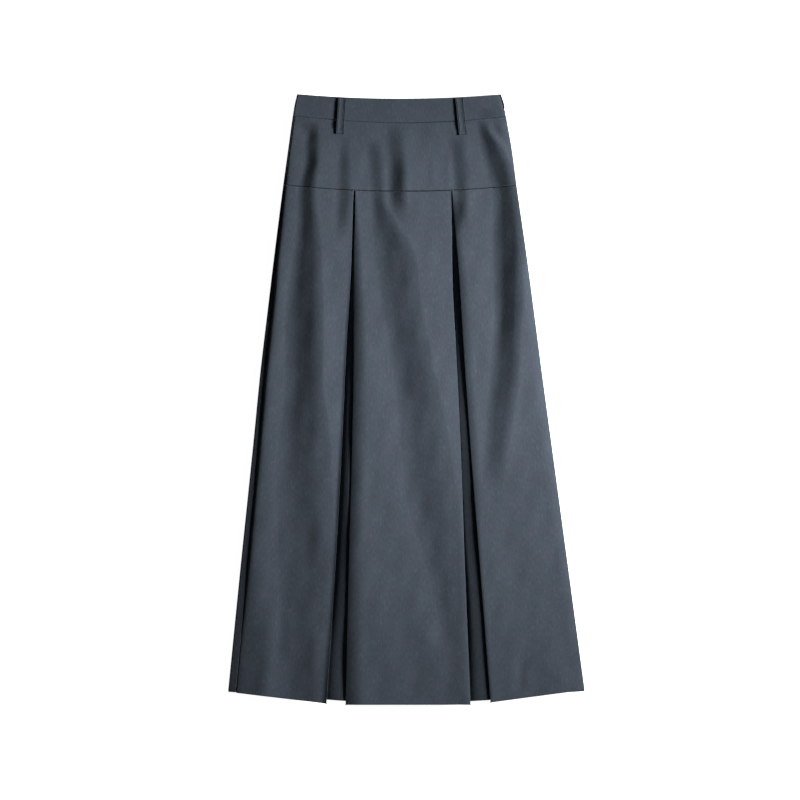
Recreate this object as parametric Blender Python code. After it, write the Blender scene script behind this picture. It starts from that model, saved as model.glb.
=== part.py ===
"""An a-line midi skirt in suiting, laid flat and face up.

A waistband with two belt loops, a hip yoke, and below it a front with two inverted pleats over a
plain back. The waist points along +Y, the front faces +Z, and the underside rests flat at z = 0.
Every piece is a cloth wall. Lengths below are millimetres; the meshes are in metres.
"""

import bisect
import math

import bmesh
import bpy

MM = 0.001

# ------------------------------------------------------------------ driving dimensions
WALL = 1.1  # cloth, as it lies
BAND_WALL = 2.0  # waistband: folded cloth over interfacing
LOOP_WALL = 1.5  # belt loop: a strip folded in three
SEAM_GAP = 0.3  # between two pieces at a seam
LAYER_GAP = 0.35  # between layers that lie on each other

CENTRE_X = -8.0  # middle of the waist
BAND_TOP = 4.6  # height of the waistband's front
LEFT_ROLL_TOP = 4.3  # height of the back where it rolls over the left side
RIGHT_EDGE_Z = 3.0  # height of the outermost line of the right side
ROLL_ANGLES = (15, 35, 55, 72, 90)  # degrees round the right side, down to that line
BACK_TURN = 1.45  # outer radius of the back's turn along the right side
BACK_EDGE_Z = 1.75  # height that the turned edge reaches
TURN_STEPS = 3  # straight steps round the back's turn
LEFT_STEPS = 6  # straight steps round the left side

PLEAT_DEPTH = 62.0  # from each front fold to the hidden seam
FOLD_RADIUS = 1.5  # outer radius of a pleat's front fold
FOLD_STEPS = 5  # straight steps round a pleat's front fold
OPENING_RUN = 170.0  # length over which a pleat opens, below the yoke
UNDERLAY_SWELL = 0.07  # how full the underlay lies in the slit, against half the slit's width

LOOP_WIDTH = 12.0
LOOP_BOW = 1.2  # space under the middle of a belt loop
LOOP_HEAD = 3.0  # flat end at the top edge
LOOP_FOOT = 8.0  # flat end that is sewn down on the yoke
LOOP_FULLNESS = 0.6  # under 1, the loop stands up steeply beside its flat ends

ZIP_LENGTH = 180.0  # below the waist seam
ZIP_WIDTH = 1.3
ZIP_LOW, ZIP_HIGH = 1.7, 2.9
ZIP_SHOWS = 12.0  # over this height above the waist seam the zip comes out to the side
BAND_END_X = 150.0  # about where the waistband ends, beside the zip


class Curves:
    """A table whose columns are read at any y, along smooth curves that never overshoot a row."""

    def __init__(self, header, *rows):
        rows = rows[::-1]
        self.ys = [row[0] for row in rows]
        self.steps = [b - a for a, b in zip(self.ys, self.ys[1:])]
        self.columns = {}
        for place, name in enumerate(header[1:], 1):
            values = [row[place] for row in rows]
            slopes = [(b - a) / h for a, b, h in zip(values, values[1:], self.steps)]
            tangents = [
                0.0 if before * after <= 0 else 2 * before * after / (before + after)
                for before, after in zip(slopes, slopes[1:])
            ]
            self.columns[name] = values, [slopes[0]] + tangents + [slopes[-1]]

    def at(self, name, y):
        values, tangents = self.columns[name]
        if y <= self.ys[0]:
            return values[0]
        if y >= self.ys[-1]:
            return values[-1]
        i = bisect.bisect_left(self.ys, y) - 1
        t = (y - self.ys[i]) / self.steps[i]
        rest = 1 - t
        return (
            values[i] * rest * rest * (1 + 2 * t)
            + values[i + 1] * t * t * (3 - 2 * t)
            + self.steps[i] * t * rest * (tangents[i] * rest - tangents[i + 1] * t)
        )


# ------------------------------------------------------------------ outline and seams
# Curved lines across the skirt: y at the middle, and how far the ends rise at `half` from it.
CROSS_LINES = {
    "waist_top": {"y": 465.8, "rise": 7.0, "half": 158.0},
    "waist_seam": {"y": 429.0, "rise": 9.8, "half": 163.0},
    "yoke_seam": {"y": 322.2, "rise": 9.5, "half": 178.0},
    "back_hem": {"y": -460.5, "rise": 9.5, "half": 276.0},
}

# Hem of each front panel, straight from its outer to its inner corner.
HEMS = {
    "side_left": ((-276.2, -451.9), (-123.4, -469.7)),
    "centre": ((-93.9, -472.8), (99.5, -472.8)),
    "side_right": ((276.5, -449.1), (130.5, -468.3)),
    "underlay_left": ((-190.0, -460.0), (-30.0, -466.5)),
    "underlay_right": ((196.0, -459.0), (36.0, -466.5)),
}

# The sides. left_wrap is how far the back comes round to the front before the left side seam.
SIDES = Curves(
    ("y", "left", "left_wrap", "right", "right_roll"),
    (472.8, -168.8, 2.8, 146.6, 3.0),
    (457.6, -173.1, 2.8, 151.4, 3.0),
    (436.0, -176.1, 2.8, 155.2, 3.0),
    (386.3, -183.4, 2.8, 163.8, 3.5),
    (330.6, -190.7, 2.9, 171.1, 4.0),
    (231.3, -203.4, 4.0, 185.4, 4.0),
    (135.2, -215.0, 6.7, 198.1, 4.0),
    (37.6, -226.5, 7.9, 210.8, 4.0),
    (-60.1, -236.8, 9.0, 224.0, 4.0),
    (-255.4, -256.8, 10.9, 250.3, 4.0),
    (-450.7, -276.2, 12.1, 276.5, 4.0),
)

# The front folds of the two inverted pleats, which open toward the hem.
PLEATS = Curves(
    ("y", "side_left", "centre_left", "centre_right", "side_right"),
    (323.0, -79.5, -78.7, 69.3, 71.0),
    (200.0, -85.3, -81.2, 71.3, 81.4),
    (75.0, -93.0, -81.4, 77.2, 89.3),
    (-75.0, -99.8, -84.0, 84.3, 99.8),
    (-250.0, -109.1, -88.8, 90.5, 113.5),
    (-470.0, -123.4, -93.9, 99.5, 130.5),
)

# How deep each pleat edge rolls down (below 0: springs up), and over what distance.
EDGE_ROLLS = {
    "side_left": Curves(
        ("y", "drop", "run"),
        (323.0, 0.0, 6.0),
        (220.0, -0.1, 6.0),
        (154.0, -0.5, 6.0),
        (0.0, -0.5, 6.5),
        (-200.0, -0.7, 8.0),
        (-470.0, -1.0, 12.0),
    ),
    "centre_left": Curves(
        ("y", "drop", "run"),
        (323.0, 0.0, 6.0),
        (290.0, 0.1, 6.0),
        (247.0, 0.9, 10.5),
        (154.0, 2.3, 18.0),
        (-32.0, 2.7, 23.0),
        (-218.0, 2.4, 21.0),
        (-400.0, 2.8, 27.0),
        (-470.0, 2.8, 27.0),
    ),
    "centre_right": Curves(
        ("y", "drop", "run"),
        (323.0, 0.0, 4.0),
        (200.0, 0.05, 4.0),
        (-100.0, 0.05, 5.0),
        (-300.0, 0.3, 9.0),
        (-470.0, 0.3, 8.0),
    ),
    "side_right": Curves(
        ("y", "drop", "run"),
        (323.0, 0.0, 6.0),
        (290.0, 0.1, 6.0),
        (247.0, 0.8, 10.0),
        (154.0, 1.3, 14.0),
        (-32.0, 1.2, 14.0),
        (-150.0, 0.8, 10.0),
        (-250.0, 0.4, 5.0),
        (-470.0, 0.4, 5.0),
    ),
}

# How high the front lies, down the middle of its panels.
LEVELS = Curves(
    ("y", "front"),
    (429.0, 4.7),
    (375.0, 6.0),
    (323.0, 7.3),
    (270.0, 8.0),
    (150.0, 8.4),
    (-200.0, 8.2),
    (-472.8, 7.8),
)

# Soft folds. Each climbs by `rise` across `width` toward +X and runs out gently on both sides.
FOLDS = {
    "left_hip": Curves(
        ("y", "x", "width", "rise"),
        (433.0, -143.0, 17.0, 0.0),
        (417.0, -143.0, 19.0, 1.4),
        (394.0, -146.0, 24.0, 2.5),
        (371.0, -148.0, 24.0, 2.9),
        (348.0, -153.0, 26.0, 3.4),
        (317.0, -156.0, 31.0, 3.8),
        (247.0, -155.0, 41.0, 4.6),
        (208.0, -156.0, 50.0, 5.3),
        (154.0, -157.0, 58.0, 5.8),
        (92.0, -158.0, 60.0, 6.1),
        (30.0, -158.0, 58.0, 5.8),
        (-32.0, -157.0, 72.0, 6.2),
        (-125.0, -158.0, 86.0, 5.7),
        (-218.0, -155.0, 86.0, 4.7),
        (-342.0, -158.0, 76.0, 3.7),
        (-474.0, -162.0, 76.0, 3.2),
    ),
    "right_hip": Curves(
        ("y", "x", "width", "rise"),
        (436.0, 117.0, 19.0, 0.0),
        (417.0, 121.0, 21.0, 2.2),
        (394.0, 131.0, 33.0, 4.0),
        (371.0, 139.0, 41.0, 4.8),
        (317.0, 156.0, 45.0, 5.4),
        (247.0, 160.0, 52.0, 6.2),
        (154.0, 159.0, 46.0, 5.4),
        (92.0, 156.0, 43.0, 4.8),
        (30.0, 152.0, 45.0, 4.4),
        (-17.0, 147.0, 43.0, 3.7),
        (-63.0, 141.0, 38.0, 2.6),
        (-102.0, 137.0, 36.0, 1.6),
        (-156.0, 130.0, 33.0, 0.0),
    ),
    "middle": Curves(
        ("y", "x", "width", "rise"),
        (405.0, -49.0, 21.0, 0.0),
        (386.0, -49.0, 24.0, 1.5),
        (355.0, -46.0, 24.0, 1.9),
        (309.0, -43.0, 26.0, 2.4),
        (278.0, -35.0, 36.0, 3.2),
        (239.0, -21.0, 58.0, 4.4),
        (208.0, -15.0, 64.0, 4.6),
        (154.0, -6.0, 66.0, 4.3),
        (92.0, 4.0, 62.0, 4.4),
        (30.0, 15.0, 64.0, 4.5),
        (-32.0, 25.0, 72.0, 4.3),
        (-156.0, 40.0, 80.0, 3.6),
        (-218.0, 55.0, 72.0, 3.0),
        (-280.0, 66.0, 57.0, 2.2),
        (-373.0, 74.0, 43.0, 1.6),
        (-474.0, 77.0, 43.0, 0.8),
    ),
    "yoke_middle": Curves(
        ("y", "x", "width", "rise"),
        (430.0, -14.0, 29.0, 0.0),
        (394.0, -16.0, 29.0, 1.9),
        (371.0, -14.0, 29.0, 2.8),
        (343.0, -14.0, 31.0, 3.8),
        (309.0, -13.0, 31.0, 3.4),
        (292.0, -12.0, 31.0, 1.8),
        (270.0, -11.0, 29.0, 0.0),
    ),
    "left_pleat_head": Curves(
        ("y", "x", "width", "rise"),
        (414.0, -96.0, 19.0, 0.0),
        (386.0, -96.0, 19.0, 0.8),
        (355.0, -96.0, 24.0, 1.7),
        (309.0, -96.0, 26.0, 2.1),
        (286.0, -98.0, 24.0, 1.7),
        (244.0, -100.0, 19.0, 0.0),
    ),
    "right_pleat_head": Curves(
        ("y", "x", "width", "rise"),
        (414.0, 80.0, 29.0, 0.0),
        (386.0, 80.0, 31.0, 2.1),
        (355.0, 84.0, 29.0, 2.4),
        (332.0, 85.0, 24.0, 2.2),
        (309.0, 87.0, 21.0, 1.9),
        (287.0, 88.0, 19.0, 1.3),
        (259.0, 86.0, 19.0, 0.0),
    ),
}
FOLD_RUN = 55.0  # distance over which a fold runs out
FOLD_DIP = 0.4  # share of a fold's rise that lies below the cloth round it
UNDERLAY_TOP = WALL + LAYER_GAP + WALL

# Where the sections stand, from 0 at the upper seam of a piece to 1 at its lower one.
BAND_STOPS = [0, 0.33, 0.67, 1]
YOKE_STOPS = [k / 7 for k in range(8)]
LENGTH_STOPS = [0, 0.015, 0.04, 0.08] + [0.13 + 0.87 * k / 15 for k in range(16)]

CENTRE_CROWN = 0.9  # the centre panel stands above the side panels
FOLD_MARGIN = 8.0  # kept between the ends of a soft fold and the edges of its panel
SEAM_RUN = 7.0  # how far from the left side seam the front has its full height

# Belt loops: middle of the top end and of the foot.
LOOPS = {
    "belt_loop_left": ((-99.3, 467.0), (-102.9, 410.6)),
    "belt_loop_right": ((81.9, 466.6), (88.0, 409.4)),
}

# Colour, roughness and metallic value of each finish.
FINISHES = {
    "suiting": ((0.082, 0.097, 0.121, 1.0), 0.86, 0.0),
    "zip_nylon": ((0.012, 0.012, 0.014, 1.0), 0.50, 0.0),
}


# ------------------------------------------------------------------ lines and heights
def cross_line(name, x):
    line = CROSS_LINES[name]
    return line["y"] + line["rise"] * ((x - CENTRE_X) / line["half"]) ** 2


def hem_line(panel, x):
    (x0, y0), (x1, y1) = HEMS[panel]
    return y0 + (y1 - y0) * (x - x0) / (x1 - x0)


def left_seam(y):
    return SIDES.at("left", y) + SIDES.at("left_wrap", y)


def right_side(y):
    return SIDES.at("right", y)


def pleat_line(name, y):
    return PLEATS.at(name, y)


def ease(t):
    t = min(max(t, 0.0), 1.0)
    return t * t * (3 - 2 * t)


def ramp(t):
    """A straight climb from 0 to 1 with short rounds at both ends."""
    round_part = 0.35
    if t > 0.5:
        return 1 - ramp(1 - t)
    if t < round_part:
        return t * t / (2 * round_part * (1 - round_part))
    return (t - round_part / 2) / (1 - round_part)


def fold_lift(fold, x, y):
    """Height that one soft fold gives at a point: part of its rise down before it, the rest up after."""
    rise = fold.at("rise", y)
    if rise <= 0:
        return 0.0
    half = fold.at("width", y) / 2
    off = x - fold.at("x", y)
    if abs(off) <= half:
        return rise * (ramp((off + half) / (2 * half)) - FOLD_DIP)
    share = -FOLD_DIP if off < 0 else 1 - FOLD_DIP
    return rise * share * math.exp(-(abs(off) - half) / FOLD_RUN)


def fold_ends(name, y, low, high):
    """Where a soft fold starts and ends across the skirt, kept between low and high."""
    middle, half = FOLDS[name].at("x", y), FOLDS[name].at("width", y) / 2
    low, high = low + FOLD_MARGIN, high - FOLD_MARGIN
    return max(middle - half, low), min(middle + half, high)


def front_height(x, y):
    """Height of the front's outer face, from the left side seam to the outermost right."""
    height = LEVELS.at("front", y) + sum(fold_lift(f, x, y) for f in FOLDS.values())
    from_seam = max(x - left_seam(y), 0.0)
    height = LEFT_ROLL_TOP + (height - LEFT_ROLL_TOP) * (1 - math.exp(-from_seam / SEAM_RUN))
    inward = min(max((right_side(y) - x) / SIDES.at("right_roll", y), 0.0), 1.0)
    return RIGHT_EDGE_Z + (height - RIGHT_EDGE_Z) * math.sqrt(1 - (1 - inward) ** 2)


def opening(y):
    """0 where a pleat is sewn shut at the yoke, 1 where it hangs free."""
    return ease((CROSS_LINES["yoke_seam"]["y"] - y) / OPENING_RUN)


def panel_height(x, y, edges, crown=0.0):
    """The front's height on a panel, lower or higher toward the pleat folds in edges."""
    sink = 0.0
    for edge in edges:
        away = max(abs(x - pleat_line(edge, y)) - FOLD_RADIUS, 0)
        near = max(1 - away / EDGE_ROLLS[edge].at("run", y), 0)
        sink += EDGE_ROLLS[edge].at("drop", y) * near**2
    return front_height(x, y) + opening(y) * crown - sink


# ------------------------------------------------------------------ places across a panel
def spread(start, end, count, crowd=1.0):
    """count + 1 places from start to end; crowd over 1 draws them toward the start."""
    return [start + (end - start) * (k / count) ** crowd for k in range(count + 1)]


def join(*runs):
    """Runs of places that share their ends, as one."""
    places = list(runs[0])
    for run in runs[1:]:
        places += run[1:]
    return places


def fold_turn(edge, top, toward):
    """The outer round of a pleat fold, from the upper face to the underside."""
    turn = []
    for k in range(1, FOLD_STEPS):
        angle = math.radians(90 - 180 * k / FOLD_STEPS)
        x = edge - toward * FOLD_RADIUS * (1 - math.cos(angle))
        turn.append((x, top - FOLD_RADIUS * (1 - math.sin(angle))))
    return turn


def return_run(edge, top, toward):
    """The underside of a pleat's return, from its fold down to the hidden seam on the underlay."""
    low = UNDERLAY_TOP + LAYER_GAP
    start = max(top - 2 * FOLD_RADIUS, low)
    run = []
    for k in range(4):
        t = k / 3
        x = edge - toward * (FOLD_RADIUS + (PLEAT_DEPTH - FOLD_RADIUS) * t)
        run.append((x, low + (start - low) * (1 - t) ** 3))
    return run


def hidden_seam(edge_name, y):
    toward = 1 if edge_name in ("side_left", "centre_right") else -1
    return pleat_line(edge_name, y) - toward * PLEAT_DEPTH


# ------------------------------------------------------------------ sections, left to right
def side_left_section(y):
    seam, edge = left_seam(y) + SEAM_GAP / 2, pleat_line("side_left", y)
    foot, crest = fold_ends("left_hip", y, seam, edge)
    xs = join(
        spread(seam, foot, 4, 1.4),
        spread(foot, crest, 5),
        spread(edge - FOLD_RADIUS, crest, 5, 1.4)[::-1],
    )
    face = [(x, panel_height(x, y, ("side_left",))) for x in xs]
    top = face[-1][1]
    return face + fold_turn(edge, top, 1) + return_run(edge, top, 1)


def centre_section(y):
    left, right = pleat_line("centre_left", y), pleat_line("centre_right", y)
    middle = (left + right) / 2
    xs = join(
        spread(left + FOLD_RADIUS, middle, 8, 1.3),
        spread(right - FOLD_RADIUS, middle, 8, 1.3)[::-1],
    )
    edges = ("centre_left", "centre_right")
    face = [(x, panel_height(x, y, edges, CENTRE_CROWN)) for x in xs]
    before = fold_turn(left, face[0][1], -1) + return_run(left, face[0][1], -1)
    after = fold_turn(right, face[-1][1], 1) + return_run(right, face[-1][1], 1)
    return before[::-1] + face + after


def side_right_section(y):
    edge, side = pleat_line("side_right", y), right_side(y)
    foot, crest = fold_ends("right_hip", y, edge, side)
    xs = join(
        spread(edge + FOLD_RADIUS, foot, 5, 1.4),
        spread(foot, crest, 5),
        right_run(crest, side, SIDES.at("right_roll", y), 3),
    )
    face = [(x, panel_height(x, y, ("side_right",))) for x in xs]
    before = fold_turn(edge, face[0][1], -1) + return_run(edge, face[0][1], -1)
    return before[::-1] + face + right_lip(side)


def right_run(start, side, roll, count):
    """Places from start over the rolled right side to its outermost line."""
    shoulder = max(side - roll, start + 1.0)
    turn = [math.sin(math.radians(angle)) for angle in ROLL_ANGLES]
    return spread(start, shoulder, count) + [shoulder + (side - shoulder) * t for t in turn]


def right_lip(side):
    """The short stretch below the outermost line, down to the right side seam."""
    return [(side, BACK_EDGE_Z + SEAM_GAP)]


def yoke_section(y):
    seam, side = left_seam(y) + SEAM_GAP / 2, right_side(y)
    left_foot, left_crest = fold_ends("left_hip", y, seam, side)
    right_foot, right_crest = fold_ends("right_hip", y, seam, side)
    xs = join(
        spread(seam, left_foot, 3, 1.3),
        spread(left_foot, left_crest, 4),
        spread(left_crest, right_foot, 18),
        spread(right_foot, right_crest, 4),
        right_run(right_crest, side, SIDES.at("right_roll", y), 1),
    )
    return [(x, front_height(x, y)) for x in xs] + right_lip(side)


def underlay_section(side_edge, centre_edge):
    def section(y):
        start, end = sorted((hidden_seam(side_edge, y), hidden_seam(centre_edge, y)))
        slit = [pleat_line(side_edge, y), pleat_line(centre_edge, y)]
        middle, half = sum(slit) / 2, abs(slit[0] - slit[1]) / 2
        swell = UNDERLAY_SWELL * half
        xs = [start, middle - half, middle - half / 2, middle, middle + half / 2, middle + half, end]
        return [(x, UNDERLAY_TOP + swell * up) for x, up in zip(xs, (0, 0, 0.75, 1, 0.75, 0, 0))]

    return section


def back_section(y):
    """From the left side seam on top, round the left side, to the seam at the right side."""
    seam, right = left_seam(y) - SEAM_GAP / 2, right_side(y)
    radius = LEFT_ROLL_TOP / 2
    start = SIDES.at("left", y) + radius
    points = [(seam, LEFT_ROLL_TOP)] + left_turn(start, radius)
    points += [(x, 0.0) for x in spread(start, right - BACK_TURN, 8)]
    for k in range(1, TURN_STEPS + 1):
        angle = math.radians(90 * k / TURN_STEPS)
        x = right - BACK_TURN * (1 - math.sin(angle))
        points.append((x, BACK_TURN * (1 - math.cos(angle))))
    return points + [(right, BACK_EDGE_Z)]


def left_turn(start, radius):
    """The round of the left side, from its top to its bottom."""
    turn = []
    for k in range(LEFT_STEPS):
        angle = math.radians(90 + 180 * k / LEFT_STEPS)
        turn.append((start + radius * math.cos(angle), radius + radius * math.sin(angle)))
    return turn


def zip_outer(y):
    """The zip's outer line: at the side beside the waistband, just inside it below."""
    shown = ease((y - cross_line("waist_seam", BAND_END_X)) / ZIP_SHOWS)
    return right_side(y) - (1 - shown) * (WALL + SEAM_GAP)


def band_section(y):
    """Round the waist: the front from its right end, the left side, and the back beneath."""
    radius = BAND_TOP / 2
    start = SIDES.at("left", y) + radius
    end = zip_outer(y) - ZIP_WIDTH - SEAM_GAP
    front = [(x, BAND_TOP) for x in spread(end, start, 16)]
    return front[:-1] + left_turn(start, radius) + [(x, 0.0) for x in spread(start, end, 12)]


# ------------------------------------------------------------------ making solids
def finish(name):
    colour, roughness, metallic = FINISHES[name]
    material = bpy.data.materials.get(name) or bpy.data.materials.new(name)
    material.use_nodes = True
    shader = material.node_tree.nodes["Principled BSDF"]
    shader.inputs["Base Color"].default_value = colour
    shader.inputs["Roughness"].default_value = roughness
    shader.inputs["Metallic"].default_value = metallic
    material.diffuse_color = colour
    return material


def place(name, mesh, material):
    mesh.materials.append(finish(material))
    mesh.shade_smooth()
    mesh.set_sharp_from_angle(angle=math.radians(50))
    piece = bpy.data.objects.new(name, mesh)
    bpy.context.scene.collection.objects.link(piece)
    return piece


def cloth(name, rows, wall, inward=False, material="suiting"):
    """A wall behind a grid of points: rows from the waist down, each from left to right.

    inward is for rows that run the other way on top, so that their faces would look in.
    """
    bm = bmesh.new()
    grid = [[bm.verts.new([c * MM for c in point]) for point in row] for row in rows]
    for upper, lower in zip(grid, grid[1:]):
        for k in range(len(upper) - 1):
            bm.faces.new((upper[k], lower[k], lower[k + 1], upper[k + 1]))
    if inward:
        bmesh.ops.reverse_faces(bm, faces=bm.faces)
    mesh = bpy.data.meshes.new(name)
    bm.to_mesh(mesh)
    bm.free()
    piece = place(name, mesh, material)
    solid = piece.modifiers.new("wall", "SOLIDIFY")
    solid.thickness = wall * MM
    solid.offset = -1.0
    solid.use_even_offset = True
    piece.modifiers.new("shading", "WEIGHTED_NORMAL")
    return piece


def bar(name, rings, material):
    """A solid through rings of four points, each ring lower down than the last."""
    bm = bmesh.new()
    loops = [[bm.verts.new([c * MM for c in point]) for point in ring] for ring in rings]
    for upper, lower in zip(loops, loops[1:]):
        for k in range(4):
            bm.faces.new((upper[k - 1], upper[k], lower[k], lower[k - 1]))
    bm.faces.new(loops[0])
    bm.faces.new(loops[-1][::-1])
    bmesh.ops.recalc_face_normals(bm, faces=bm.faces)
    mesh = bpy.data.meshes.new(name)
    bm.to_mesh(mesh)
    bm.free()
    return place(name, mesh, material)


def rows_between(section, top_line, bottom_line, stops):
    """Sections at each stop from 0, at top_line, to 1, at bottom_line; y follows both lines."""
    rows = []
    for stop in stops:
        points = section(top_line(CENTRE_X) * (1 - stop) + bottom_line(CENTRE_X) * stop)
        for _ in range(2):
            ys = [top_line(x) * (1 - stop) + bottom_line(x) * stop for x, _ in points]
            points = [section(y)[k] for k, y in enumerate(ys)]
        rows.append([(x, y, z) for (x, z), y in zip(points, ys)])
    return rows


def below(name):
    return lambda x: cross_line(name, x) - SEAM_GAP / 2


def above(name):
    return lambda x: cross_line(name, x) + SEAM_GAP / 2


def hem(panel):
    return lambda x: hem_line(panel, x)


def make_front():
    seam = below("yoke_seam")
    for panel, section in (
        ("side_left", side_left_section),
        ("centre", centre_section),
        ("side_right", side_right_section),
    ):
        cloth("panel_" + panel, rows_between(section, seam, hem(panel), LENGTH_STOPS), WALL)
    for side in ("left", "right"):
        section = underlay_section("side_" + side, "centre_" + side)
        rows = rows_between(section, seam, hem("underlay_" + side), LENGTH_STOPS[::2] + [1])
        cloth("pleat_underlay_" + side, rows, WALL)


def make_yoke():
    rows = rows_between(yoke_section, below("waist_seam"), above("yoke_seam"), YOKE_STOPS)
    cloth("yoke_front", rows, WALL)


def make_back():
    """Its rows lie beside those of the front, so that the side seams stay even."""
    hip = above("yoke_seam")
    rows = rows_between(back_section, below("waist_seam"), hip, YOKE_STOPS)
    rows += rows_between(back_section, hip, below("back_hem"), LENGTH_STOPS)[1:]
    cloth("skirt_back", rows, WALL, inward=True)


def make_waistband():
    rows = rows_between(band_section, below("waist_top"), above("waist_seam"), BAND_STOPS)
    cloth("waistband", rows, BAND_WALL, inward=True)


def seat_height(x, y):
    """The highest cloth under a belt loop's width at y."""
    if y > cross_line("waist_seam", x):
        return BAND_TOP
    return max(front_height(x + side * LOOP_WIDTH / 2, y) for side in (-1, -0.5, 0, 0.5, 1))


def make_belt_loop(name):
    (x0, y0), (x1, y1) = LOOPS[name]
    length = math.hypot(x1 - x0, y1 - y0)
    across = ((y0 - y1) / length, (x1 - x0) / length)
    free = length - LOOP_HEAD - LOOP_FOOT
    runs = [0] + [LOOP_HEAD + free * k / 9 for k in range(10)] + [length - LOOP_FOOT / 2, length]
    rows = []
    for run in runs:
        x, y = x0 + (x1 - x0) * run / length, y0 + (y1 - y0) * run / length
        bow = LOOP_BOW * math.sin(math.pi * min(max((run - LOOP_HEAD) / free, 0), 1)) ** LOOP_FULLNESS
        z = loop_seat(name, run / length) + SEAM_GAP + bow + LOOP_WALL
        offsets = spread(-LOOP_WIDTH / 2, LOOP_WIDTH / 2, 4)
        rows.append([(x + off * across[0], y + off * across[1], z) for off in offsets])
    cloth(name, rows, LOOP_WALL)


def loop_seat(name, share):
    """Height that a loop starts from: level over the waistband, then down or up to its foot."""
    (x0, y0), (x1, y1) = LOOPS[name]
    foot = max(seat_height(x1, y) for y in (y1, y1 + LOOP_FOOT / 2, y1 + LOOP_FOOT))
    return BAND_TOP + (foot - BAND_TOP) * ease(share / (1 - LOOP_FOOT / math.hypot(x1 - x0, y1 - y0)))


def make_zip():
    """The closed concealed zip in the right side, which shows only beside the waistband."""
    seam = cross_line("waist_seam", BAND_END_X)
    top = cross_line("waist_top", BAND_END_X) - SEAM_GAP
    rings = []
    for y in spread(top, seam, 6) + spread(seam, seam - ZIP_LENGTH, 10)[1:]:
        outer = zip_outer(y)
        inner = outer - ZIP_WIDTH
        rings.append(
            ((inner, y, ZIP_LOW), (outer, y, ZIP_LOW), (outer, y, ZIP_HIGH), (inner, y, ZIP_HIGH))
        )
    bar("side_zip", rings, "zip_nylon")


def main():
    for thing in list(bpy.data.objects):
        bpy.data.objects.remove(thing, do_unlink=True)
    make_back()
    make_front()
    make_yoke()
    make_waistband()
    for name in LOOPS:
        make_belt_loop(name)
    make_zip()


main()
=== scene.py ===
"""Dresses an a-line midi skirt that lies flat and face up, and lights it for its picture.

Every panel is a thin cloth shell laid on its solid's form, with its own folds, rolled seams and
hem. Lengths in the tables are millimetres; the meshes are in metres.
"""

import math

import bpy
import numpy as np
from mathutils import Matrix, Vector


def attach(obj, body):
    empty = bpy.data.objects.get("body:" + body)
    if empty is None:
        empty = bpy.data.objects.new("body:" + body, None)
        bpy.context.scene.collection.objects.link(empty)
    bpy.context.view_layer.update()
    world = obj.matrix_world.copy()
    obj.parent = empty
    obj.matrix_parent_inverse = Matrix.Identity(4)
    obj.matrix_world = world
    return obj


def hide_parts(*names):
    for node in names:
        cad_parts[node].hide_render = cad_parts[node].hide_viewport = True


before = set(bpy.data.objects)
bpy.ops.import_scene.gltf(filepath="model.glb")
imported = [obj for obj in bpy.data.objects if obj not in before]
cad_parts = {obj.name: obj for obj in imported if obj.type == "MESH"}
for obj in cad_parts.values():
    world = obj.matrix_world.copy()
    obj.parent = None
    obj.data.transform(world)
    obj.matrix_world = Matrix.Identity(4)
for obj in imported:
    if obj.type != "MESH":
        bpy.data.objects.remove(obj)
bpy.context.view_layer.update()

bl_info = {
    "name": "A-line midi skirt",
    "version": (1, 0, 0),
    "blender": (4, 5, 0),
    "location": "3D View > Sidebar > Skirt",
    "description": "Lays out a pleated a-line skirt in suiting, piece by piece",
    "category": "Object",
}

MM = 0.001

# ------------------------------------------------------------------ the skirt's fixed sizes
WALL = 0.8  # one layer of cloth
BAND_WALL = 1.7  # waistband: folded cloth over interfacing
LOOP_WALL = 0.8  # belt loop: a strip folded in three and pressed
SEAM_GAP = 0.3  # between two pieces at a seam
SEAM_ROLL = 1.15  # radius with which cloth rolls into a seam or a hem

DITCH_MIDDLE, DITCH_ENDS = 1.5, 0.4  # widths of the shadowed line along a seam across the front
DITCH_REACH = 110.0  # distance from the middle over which it narrows
DITCH_FLOOR = 1.75  # height of the yoke's cloth in the open waist seam,
DITCH_FLAT = (0.2, 0.8)  # between these shares of the seam's width,
DITCH_LIP = 0.4  # and how far its lower lip stands above the allowance
ALLOWANCE = 7.0  # the yoke's cloth turned up inside the waistband,
ALLOWANCE_Z = 2.7  # its height there,
ALLOWANCE_START = 0.9  # how far past the open seam it has that height,
ALLOWANCE_UNDER = 0.05  # how far it stays under the yoke's own edge,
ALLOWANCE_INSET = 9.5  # and how far it ends before the right side

CENTRE_X = -8.0  # middle of the waist
LEFT_ROLL_TOP = 4.3  # height of the back beside the front's left seam,
LEFT_LEVEL = 0.02  # level over this share of the way to the turn along the left side,
LEFT_FALL = 0.13  # and its slope from there on
BACK_TOP_ROLL = 0.3  # radius of the back's upper edge, inside the waistband
BACK_TURN = 1.45  # outer radius of the back's turn along the right side
BACK_EDGE_Z = 1.75  # height that the turned edge reaches
RIGHT_FALL = 0.85  # how far the front falls toward the right side,
RIGHT_FALL_RUN = 16.0  # and over what distance
RIGHT_ROLL = 0.5  # radius of the turn at the right side

PLEAT_DEPTH = 62.0  # from each front fold to the hidden seam
FOLD_RADIUS = 0.9  # half the height of a pleat's pressed front fold
FOLD_NOSE = 0.08  # how far its turn reaches out over the face,
FOLD_HEEL = 0.4  # and how far it goes back in under it
OPENING_RUN = 170.0  # length over which a pleat opens, below the yoke
RETURN_LOW = 2.9  # height of a pleat's return at its hidden seam
UNDERLAY_TOP = 2.55  # height of an underlay where the panels hide it
DIP_RUN = 10.0  # distance over which an underlay sinks again, past its ridge
CENTRE_CROWN = 0.9  # the centre panel stands above the side panels

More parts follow.
